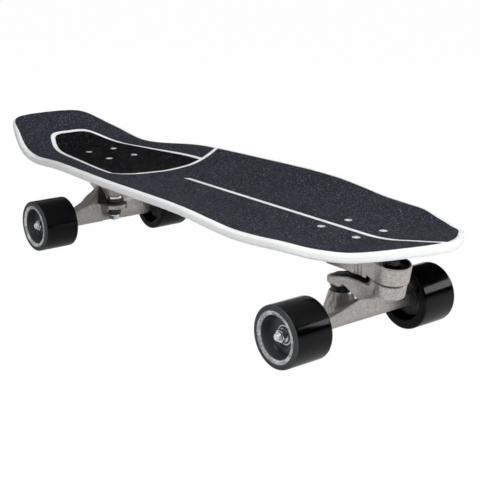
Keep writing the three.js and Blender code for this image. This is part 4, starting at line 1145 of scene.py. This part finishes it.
# %% [markdown]
# The front hanger
# A bell carries the bushing in a shallow seat, and a broad blade with a flat face
# runs out to the collars on the axle. Bevelled blocks would meet in hard seams. As
# fields, the bell is turned, the blade is what lies inside a front view and a side
# view, and the two run into each other. A mask gives the bell a polish, its streaks
# painted pale as a painted highlight.

# %% Cast the front hanger
def front_hanger_form(x, y, z):
    """Bell, bridge, blade, axle bar and nose joined, less the bores and the seat below."""
    p = (x, y, z)
    bell = front_pin_line.profile(p, [
        (deep, 16), (11.9, 16), (11.9, 19.4), (13.1, 19.4), (14.0, 17.4), (14.9, 14.0),
        (16.4, 8.6), (18.2, 2.6), (19.3, -1.5), (19.5, -5), (deep, -5)])
    wing = meet(outline_field(np.abs(y), z, [
        (deep, -5), (66, -5), (66, 2.5), (50.2, 9), (32.3, 13.3), (9.9, 19.8), (0, 22.5),
        (deep, 22.5)]), outline_field(x, z, [
            (6.5, -5), (23.7, -5), (23.7, 22.5), (18.7, 22.5), (18.7, 1), (6.5, 0)]), 1.0)
    bridge = meet(meet(span(x, front_pin, front_axle), span(y, -15.8, 15.8)), span(z, -5, 3))
    body = join(join(bell, bridge, 2), wing, 2.5)
    body = join(body, front_axle_line.bar(p, hanger_end, -hanger_half, hanger_half), 3)
    along_lean, _ = front_lean.reach(x, y, z)
    body = join(cut(body, -8.2 - along_lean), nose_field(p, front_lean, 26), 2.5)
    return cut(body, front_axle_line.bar(p, axle_bore, -99, 99),
               front_pin_line.bar(p, 6.65, -50, 50), front_pin_line.bar(p, 14.9, -50, 6))


def bell_polish_and_highlight(x, y, z):
    """One on the bell, falling to nothing where the blade begins: polish with a painted highlight.
    """
    return np.clip((20.5 - np.hypot(x - front_pin, y)) / 1.5, 0, 1) * (x < front_pin + 9)


cast("front_hanger_casting", "front_steering", "front_hanger", front_hanger_form,
     (-35, -84, -11), (46, 84, 42), hanger_step, front_row, polished=bell_polish_and_highlight)

# %% [markdown]
# The swing arm
# The arm hangs below the plate on a tilted pivot, and the front hanger hangs from
# its free end. Its underside arches over the hanger, and a boss at its nose turns
# on a thrust bearing. The arm is what lies inside a side view and a plan view, which
# keeps its length true in both, and its bores follow the lines of the real holes.

# %% Cast the swing arm
def swing_arm_form(x, y, z):
    """Side view met with plan, joined with boss, shaft and housing, less the bores."""
    p = (x, y, z)
    side = outline_field(x, z, [
        (-29.3, 28.5), (-0.7, 28.5), (2.2, 30.6), (6, 33.2), (9.5, 32.6), (31.2, 23.4),
        (58, 33.1), (58, 45.4), (15.1, 45.4), (2.7, 42.8), (-29.3, 35)])
    body = meet(side, tangent_plan(x, y, front_pin, 16, 58, 20), 2.2)
    body = join(body, swing_line.bar(p, 20, -16.2, -0.6, 1.5), 2)
    body = join(body, swing_line.bar(p, 9.4, -3.4, 11), 0.5)
    body = join(body, meet(front_lean.bar(p, housing, -7, housing), span(x, 0, 58)), 2)
    return cut(body, cut(swing_line.bar(p, 24, -0.6, 40, 0.1), swing_line.bar(p, 9.4, -50, 50)),
               *seat_bores(p, front_lean), swing_line.bar(p, 5.3, -60, 60),
               swing_line.bar(p, 8.7, -60, -10.5), cut(swing_line.bar(p, 16.3, -2, 1),
                                                       swing_line.bar(p, 10.7, -5, 5)),
               front_pin_line.bar(p, 9.2, 32.5, 80), front_pin_line.bar(p, 5.05, 0, 90))


def arm_painted_shade(x, y, z):
    """One on the arm's upper face inside a bare rim, painted black as painted shade from the plate
    above.
    """
    top = np.minimum(45.4, 35 + 0.234 * (x + 29.3))
    rim = tangent_plan(x, y, front_pin, 16, 58, 20)
    return ((z > top - 1.2) & (rim < -1.4) & (x > -19) & (x < 40)).astype(float)


cast("swing_arm_casting", "swing_arm", "front_swing_arm", swing_arm_form,
     (-32, -23, 10), (84, 23, 66), plate_step, front_row, coated=arm_painted_shade)

# %% [markdown]
# The base plates
# The front plate carries a long housing for the return spring and a round boss
# with an open pan for the pivot's nut. The rear plate has a kingpin boss and the
# seat of the pivot cup, joined by a web. They are fields too, because a plate and its
# bosses flow together in the mould. The plates under the deck are painted darker as
# painted shade, and the open pan is painted black as painted shade.

# %% Cast the base plates
# How far the plates under the deck are painted towards black, as painted shade.
deck_shade_strength = 0.45


def front_plate_form(x, y, z):
    """Plate, spring housing, shoulder and boss joined, less the pan, bores and bolt holes."""
    p = (x, y, z)
    top, under, spine_low = 82.2, 75.2, 50.2
    body = plate_field(p, -38, 42, top)
    spine = meet(meet(span(x, -27, 40), span(y, -15, 15), 2.5), span(z, spine_low, under + 3), 2)
    shoulder = meet(tangent_plan(x, y, 21.6, 15, 58, 21.4), outline_field(x, z, [
        (6.6, spine_low), (58, 50.8), (58, 71.2), (36.6, under), (6.6, under)]), 1.5)
    body = join(join(body, spine, 3), shoulder, 2.5)
    body = join(body, swing_line.bar(p, 21.4, 0.6, 20.6, 1.4), 1.5)
    return cut(body, swing_line.bar(p, 24, -60, 0.6, 0.1), swing_line.bar(p, 19.3, 13.6, 60),
               swing_line.bar(p, 10, -2, 11.6), swing_line.bar(p, 5.3, 0, 20.6),
               cut(swing_line.bar(p, 16.3, -1, 2), swing_line.bar(p, 10.7, -5, 5)),
               spring_line.bar(p, 8.2, -24.9, 58), *bolt_cuts(p, under, -10))


def rear_plate_form(x, y, z):
    """Plate, kingpin boss, web and cup housing joined, less the bores and bolt holes."""
    p = (x, y, z)
    top, under, web_low = 79.4, 72.4, 47.2
    body = plate_field(p, -38, 48.2, top)
    boss = rear_pin_line.profile(p, [
        (deep, 73.5), (17.5, 73.5), (17.5, 42.5), (12.4, rear_seat), (deep, rear_seat)])
    along_lean, _ = rear_lean.reach(x, y, z)
    web = meet(outline_field(x, z, [
        (rear_pin, 73), (rear_pin, web_low), (34.3, 37), (44.5, 37), (46.5, 73)]),
        span(y, -housing, housing), 1.5)
    web = cut(web, np.maximum(along_lean + 7, z - web_low))
    body = join(join(body, meet(boss, z - 74), 3), web, 3)
    body = join(body, rear_lean.bar(p, housing, -7, housing, 1.4), 2)
    return cut(body, *seat_bores(p, rear_lean), rear_pin_line.bar(p, 5.05, 0, 90),
               rear_pin_line.bar(p, 8.5, 73.1, 90), *bolt_cuts(p, under, 37))


def pan_painted_shade(x, y, z):
    """One inside the open pan, painted black as painted shade. The plate under the deck and its tail
    end get a lighter painted shade.
    """
    high, away = swing_line.reach(x, y, z)
    under_deck = np.maximum((z > 74.8) & (x < 42), np.clip((12 - x) / 24, 0, 1))
    return np.maximum((away < 19.7) & (high > 13.0), deck_shade_strength * under_deck)


cast("front_base_casting", "board", "front_base_plate", front_plate_form,
     (-40, -30, 48), (84, 30, 84), plate_step, front_row, coated=pan_painted_shade)
# The rear plate's flange under the deck takes painted shade.
cast("rear_base_casting", "board", "rear_base_plate", rear_plate_form,
     (-40, -30, 25), (51, 30, 82), plate_step, rear_row,
     coated=lambda x, y, z: deck_shade_strength * (z > 72))

# %% [markdown]
# The rear hanger
# Two wings rise to the nose and leave a round hollow for the bushing, with a ring
# below it and a slot underneath for the kingpin's nut. The wings are one form that
# a round bar cuts, so the hollow's two edges match. A mask darkens the hollow as painted shade.

# %% Cast the rear hanger
hollow = 22.5


def rear_hanger_form(x, y, z):
    """Wings, ring and axle bar joined and hollowed, the nose added, less bores and slot."""
    p = (x, y, z)
    wing = meet(outline_field(np.abs(y), z, [
        (deep, -8.6), (66, -8.6), (66, 9.8), (54.8, 13.9), (38.9, 19.7), (27.7, 27.1),
        (19.1, 32.8), (11.2, 41), (deep, 41)]), outline_field(x, z, [
            (3.1, -8.6), (20.3, -8.6), (20.3, 11), (27.2, 26.8), (24.1, 41), (18.3, 41),
            (3.1, 18)]), 1.5)
    body = join(wing, rear_pin_line.bar(p, 18.5, 9, 19), 6)
    body = join(body, rear_axle_line.bar(p, hanger_end, -hanger_half, hanger_half), 3)
    along_lean, _ = rear_lean.reach(x, y, z)
    body = cut(body, -8.2 - along_lean, rear_pin_line.bar(p, hollow, 19, 90))
    body = join(body, nose_field(p, rear_lean, 25), 2.5)
    slot = meet(meet(x - 6.2, span(y, -15, 15)), z - 12.5)
    return cut(body, rear_axle_line.bar(p, axle_bore, -99, 99),
               rear_pin_line.bar(p, 6.65, -50, 50), slot)


def hollow_painted_shade(x, y, z):
    """Most of the way to one in the round hollow, darkened as painted shade."""
    return 0.7 * ((np.hypot(x - rear_pin, y) < hollow + 0.5) & (z > 18.2) & (x < 24))


cast("rear_hanger_casting", "rear_steering", "rear_hanger", rear_hanger_form,
     (-24, -84, -11), (42, 84, 45), hanger_step, rear_row, coated=hollow_painted_shade)

# %% [markdown]
# Kingpins, washers and bushings
# The hanger hangs between two urethane bushings on the kingpin. The upper one sits
# in a cupped washer. The bushings are what bends when the rider leans; here each
# stays where it is made and rides on no body.

# %% Parts on the kingpins
def row_line(line, to_row):
    """Where a line of a truck lies in the row, and which way it points."""
    start = to_row(line.place[None, :])[0]
    return start, to_row((line.place + line.way)[None, :])[0] - start


for end, line, head_low, rise, floor_of_cushion, top, seat, lean, to_row, holder in (
        ("front", front_pin_line, front_seat + 4.3, 0, 16.3, 5.7, front_seat, front_lean,
         front_row, "swing_arm"),
        ("rear", rear_pin_line, 73.4, 2.5, 19.3, 12.2, rear_seat, rear_lean,
         rear_row, "board")):
    place, way = row_line(line, to_row)
    facets, bore, pin, pitch, corner = 48, 5.05, 4.75, 1.4, 8.2
    thread_run = (rise - 7.8, rise + 3.0)
    fit(f"{end}_kingpin_bolt", np.array(
        [(0, rise - 8.3), (4.2, rise - 8.3)] + threaded(pin, *thread_run, pitch) + [
            (pin, rise + 3.4), (pin, head_low), (7.7, head_low), (corner, head_low + 0.6),
            (corner, head_low + 5.3), (7.4, head_low + 6), (0, head_low + 6)]),
        place, way, facets, 0, holder, f"{end}_kingpin", black_steel, "black_steel",
        outline=hexagon(corner), ripple=thread(pitch, 0.5, *thread_run), crisp=28)
    fit(f"{end}_kingpin_lock_nut", [
        (bore, rise - 7.1), (7.5, rise - 7.1), (corner, rise - 6.5), (corner, rise - 2.4),
        (7.5, rise - 1.8), (bore, rise - 1.8)], place, way, 72, 0.15, holder,
        f"{end}_kingpin_nut", chrome, "bright_steel", outline=hexagon(corner), crisp=28)
    cup_top = seat - gap
    cup_look = (chrome, "bright_steel") if end == "rear" else (black_steel, "black_steel")
    fit(f"{end}_cup_washer", [
        (bore, cup_top), (12.3, cup_top), (12.6, cup_top - 0.6), (12.6, cup_top - 3.5),
        (11.1, cup_top - 3.5), (11.1, cup_top - 1.5), (bore, cup_top - 1.5)],
        place, way, 72, 0.5, holder, f"{end}_upper_washer", *cup_look)
    fit(f"{end}_flat_washer", [
        (bore, rise - 1.5), (9, rise - 1.5), (9, rise), (bore, rise)], place, way, facets, 0.3,
        holder, f"{end}_lower_washer", chrome, "bright_steel")
    high, low = cup_top - 1.8, floor_of_cushion
    middle = (high + low) / 2
    upper = fit(f"{end}_upper_cushion", [
        (bore, high), (10.6, high), (10.8, high - 1.9), (11.35, middle + 1.6),
        (11.6, middle - 1), (11.4, low + 0.9), (10.6, low), (bore, low)],
        place, way, 72, 0.8, None, f"{end}_upper_bushing", rubber, "bushing_rubber")
    lower = fit(f"{end}_lower_cushion", [
        (bore, top), (9.2, top), (9.3, top - 0.8), (8.4, top - 3.3), (7.7, rise + 0.7),
        (7.4, rise + gap), (bore, rise + gap)],
        place, way, 72, 0.5, None, f"{end}_lower_bushing", rubber, "bushing_rubber")
    for cushion, fixed_end, moving_end in ((upper, high, low), (lower, rise + gap, top)):
        start, finish = ((np.array(place) + np.array(way) * at) * MM
                         for at in (fixed_end, moving_end))
        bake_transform(cushion)
    fit(f"{end}_nose_cup", [
        (0, cup_outer), (cup_outer, cup_outer), (cup_outer, -7), (cup_inner, -7)] + [
        (cup_inner * math.cos(a), cup_inner * math.sin(a)) for a in quarter[:-1]] + [
        (0, cup_inner)], *row_line(lean, to_row), facets, 0.3, holder, f"{end}_pivot_cup",
        cup_rubber, "bushing_rubber")
print("kingpin parts", made_pieces[-1])

# %% [markdown]
# The swing pivot and its spring
# One bolt holds the arm to the plate, and its nut lies in the open pan. A coil
# spring in the plate's housing pushes a plunger against the arm's shaft, which
# brings the arm back to the middle. The coil could be a curve with a bevel. As a
# round section carried along a helix, it is a mesh from the start, closed by a pole
# at each end.

# %% Parts of the swing pivot
pivot = row_line(swing_line, front_row)
swing_pitch, swing_run = 1.5, (12.0, 19.3)
fit("swing_bolt", np.array([
    (0, -14.6), (3.4, -14.6), (3.8, -16.2), (7.6, -16.2), (8.4, -15.6), (8.4, -11.2),
    (7.9, -10.8), (5.0, -10.8)] + threaded(5.0, *swing_run, swing_pitch) + [(4.3, 19.8), (0, 19.8)]),
    *pivot, 60, 0, "board", "swing_pivot_bolt", black_steel, "black_steel",
    outline=hexagon(8.4), ripple=thread(swing_pitch, 0.5, *swing_run), crisp=28)
fit("swing_lock_nut", [
    (5.3, 13.9), (8.8, 13.9), (9.6, 14.5), (9.6, 18.8), (8.8, 19.5), (5.3, 19.5)],
    *pivot, 72, 0.2, "board", "swing_pivot_nut", black_steel, "black_steel",
    outline=hexagon(9.6), crisp=28)
fit("swing_thrust_race", [
    (11, -1.7), (16, -1.7), (16, -0.6), (15.3, -0.3), (15.3, 0.3), (16, 0.6), (16, 1.7),
    (11, 1.7), (11, 0.6), (11.7, 0.3), (11.7, -0.3), (11, -0.6)],
    *pivot, 72, 0.15, "board", "swing_thrust_bearing", chrome, "bright_steel")
fit("spring_plunger", [
    (0, 19.6), (6.9, 19.6), (7.6, 20.3), (7.6, 45.6), (6.2, 47.1), (0, 47.55)],
    *row_line(spring_line, front_row), 48, 0.4, "board", "swing_spring_plunger", zinc, "zinc")
print("swing parts", made_pieces[-4:])

# %% Wind the spring
turns, coil_start, coil_length, coil_radius, wire, wire_sides = 6, -22, 40, 6.4, 1.3, 14
t = np.linspace(0, 1, turns * 40 + 1)[:, None]
coil_angle = 2 * math.pi * turns * t
section_angle = (np.arange(wire_sides) * 2 * math.pi / wire_sides)[None, :]
pitch_lean = math.atan2(coil_length / turns, 2 * math.pi * coil_radius)
out = coil_radius + wire * np.cos(section_angle)
slip = wire * np.sin(section_angle)
rise = slip * math.sin(pitch_lean)
coil = np.stack([
    coil_start + coil_length * t + slip * math.cos(pitch_lean),
    out * np.cos(coil_angle) + rise * np.sin(coil_angle),
    spring_height + out * np.sin(coil_angle) - rise * np.cos(coil_angle)], axis=2)
centre_ends = coil[[0, -1]].mean(axis=1, keepdims=True)
coil = np.concatenate([np.repeat(centre_ends[:1], wire_sides, axis=1), coil,
                       np.repeat(centre_ends[1:], wire_sides, axis=1)])
spring = put("return_spring_coil", front_row(coil.reshape(-1, 3)), grid_faces(
    len(coil), wire_sides, wrap_columns=True), crisp=45)
dress(spring, "board", "swing_return_spring", zinc)
print("spring", made_pieces[-1])

# %% [markdown]
# The studio
# The floor and the far wall are white wherever the camera or a reflection sees
# them. The floor's shadow is faint to the camera and stronger in the metal's
# reflections, which darkens the castings where they hang under the deck. The ceiling is
# dark, as in a real studio, so a glossy wheel is black above and grey below. One
# broad lamp from above and behind the camera, one from the far side, one ahead of
# the nose and one overhead model the forms. The floor is clear from below, so that
# the underside can be looked at.

# %% The floor
floor_half = 12.0
floor_mesh = bpy.data.meshes.new("studio_floor")
floor_mesh.from_pydata(
    [(-floor_half, -floor_half, 0), (floor_half, -floor_half, 0),
     (floor_half, floor_half, 0), (-floor_half, floor_half, 0)], [], [(0, 1, 2, 3)])
floor = bpy.data.objects.new("studio_floor", floor_mesh)
bpy.context.scene.collection.objects.link(floor)
floor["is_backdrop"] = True
camera_share, gloss_share = 0.985, 0.4
paper = Finish("white_paper", Base_Color=(0.72, 0.72, 0.72, 1), Roughness=0.9,
               Specular_IOR_Level=0.1)
path = paper.node("ShaderNodeLightPath").outputs
seen = paper.sums("MAXIMUM", path["Is Camera Ray"], path["Is Transmission Ray"])
share = paper.sums("MAXIMUM", paper.sums("MULTIPLY", seen, camera_share),
                   paper.sums("MULTIPLY", path["Is Glossy Ray"], gloss_share))
glow = paper.node("ShaderNodeEmission", {"Color": (1, 1, 1, 1), "Strength": 1.0})
above = paper.node("ShaderNodeMixShader", {
    "Fac": share, 1: paper.skin.outputs["BSDF"], 2: glow.outputs["Emission"]})
surface = paper.node("ShaderNodeMixShader", {
    "Fac": paper.node("ShaderNodeNewGeometry").outputs["Backfacing"],
    1: above.outputs["Shader"], 2: paper.node("ShaderNodeBsdfTransparent").outputs["BSDF"]})
paper.tree.links.new(
    surface.outputs["Shader"], paper.tree.nodes["Material Output"].inputs["Surface"])
floor_mesh.materials.append(paper.material)
print("floor", 2 * floor_half, "m across")

# %% The sky
world = bpy.data.worlds.new("studio_sky")
world.use_nodes = True
bpy.context.scene.world = world
sky = Graph(world.node_tree)
sky_light, ceiling_from, ceiling_left = 0.3, 0.14, 0.02
path = sky.node("ShaderNodeLightPath").outputs
seen = path["Is Camera Ray"]
for kind in ("Is Glossy Ray", "Is Transmission Ray"):
    seen = sky.sums("MAXIMUM", seen, path[kind])
direction = sky.node("ShaderNodeTexCoord").outputs["Generated"]
way_up = sky.node("ShaderNodeSeparateXYZ", {0: direction}).outputs["Z"]
ceiling = sky.between(way_up, 1.0, ceiling_left, 0.0, ceiling_from)
strength = sky.sums("MULTIPLY", sky.between(seen, sky_light, 1.0),
                    sky.sums("MAXIMUM", ceiling, path["Is Camera Ray"]))
background = sky.tree.nodes["Background"].inputs
background["Color"].default_value = (1, 1, 1, 1)
sky.tree.links.new(strength, background["Strength"])
print("sky nodes", len(sky.tree.nodes))

# %% The lamps
def lamp(name, place, target, size, power):
    """A soft rectangle of light that looks from its place to its target."""
    data = bpy.data.lights.new(name, "AREA")
    data.shape = "RECTANGLE"
    data.size, data.size_y = size
    data.energy = power
    made = bpy.data.objects.new(name, data)
    forward = np.array(target) - place
    z_axis = -forward / np.linalg.norm(forward)
    x_axis = np.cross([0, 0, 1.0], z_axis)
    x_axis /= np.linalg.norm(x_axis)
    pose = np.eye(4)
    pose[:3, 0], pose[:3, 1], pose[:3, 2], pose[:3, 3] = (
        x_axis, np.cross(z_axis, x_axis), z_axis, place)
    made.matrix_world = Matrix(pose.tolist())
    bpy.context.scene.collection.objects.link(made)
    return made


lamp("high_softbox", (0.7, -0.75, 1.7), (0, 0, 0.1), (1.6, 1.0), 30)
lamp("far_strip", (0.9, 1.4, 0.7), (0.1, 0, 0.1), (1.4, 0.4), 9)
for soft_lamp in (lamp("nose_strip", (1.9, -0.2, 0.5), (0.2, 0, 0.08), (0.3, 1.0), 10),
                  lamp("overhead_panel", (0.1, 0.3, 2.0), (0, 0, 0.1), (1.2, 0.8), 13)):
    soft_lamp.visible_glossy = False
print("lamps", [light.name for light in bpy.data.lights])

# %% [markdown]
# Finish
# The standard view keeps colours as they are written. The box of the dressed board
# is measured, and the pieces and their triangles are counted.

# %% Measure the box and count the pieces
bpy.context.scene.view_settings.view_transform = "Standard"
low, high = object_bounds()
print("pieces", len(made_pieces), "triangles", sum(count for _, count in made_pieces))
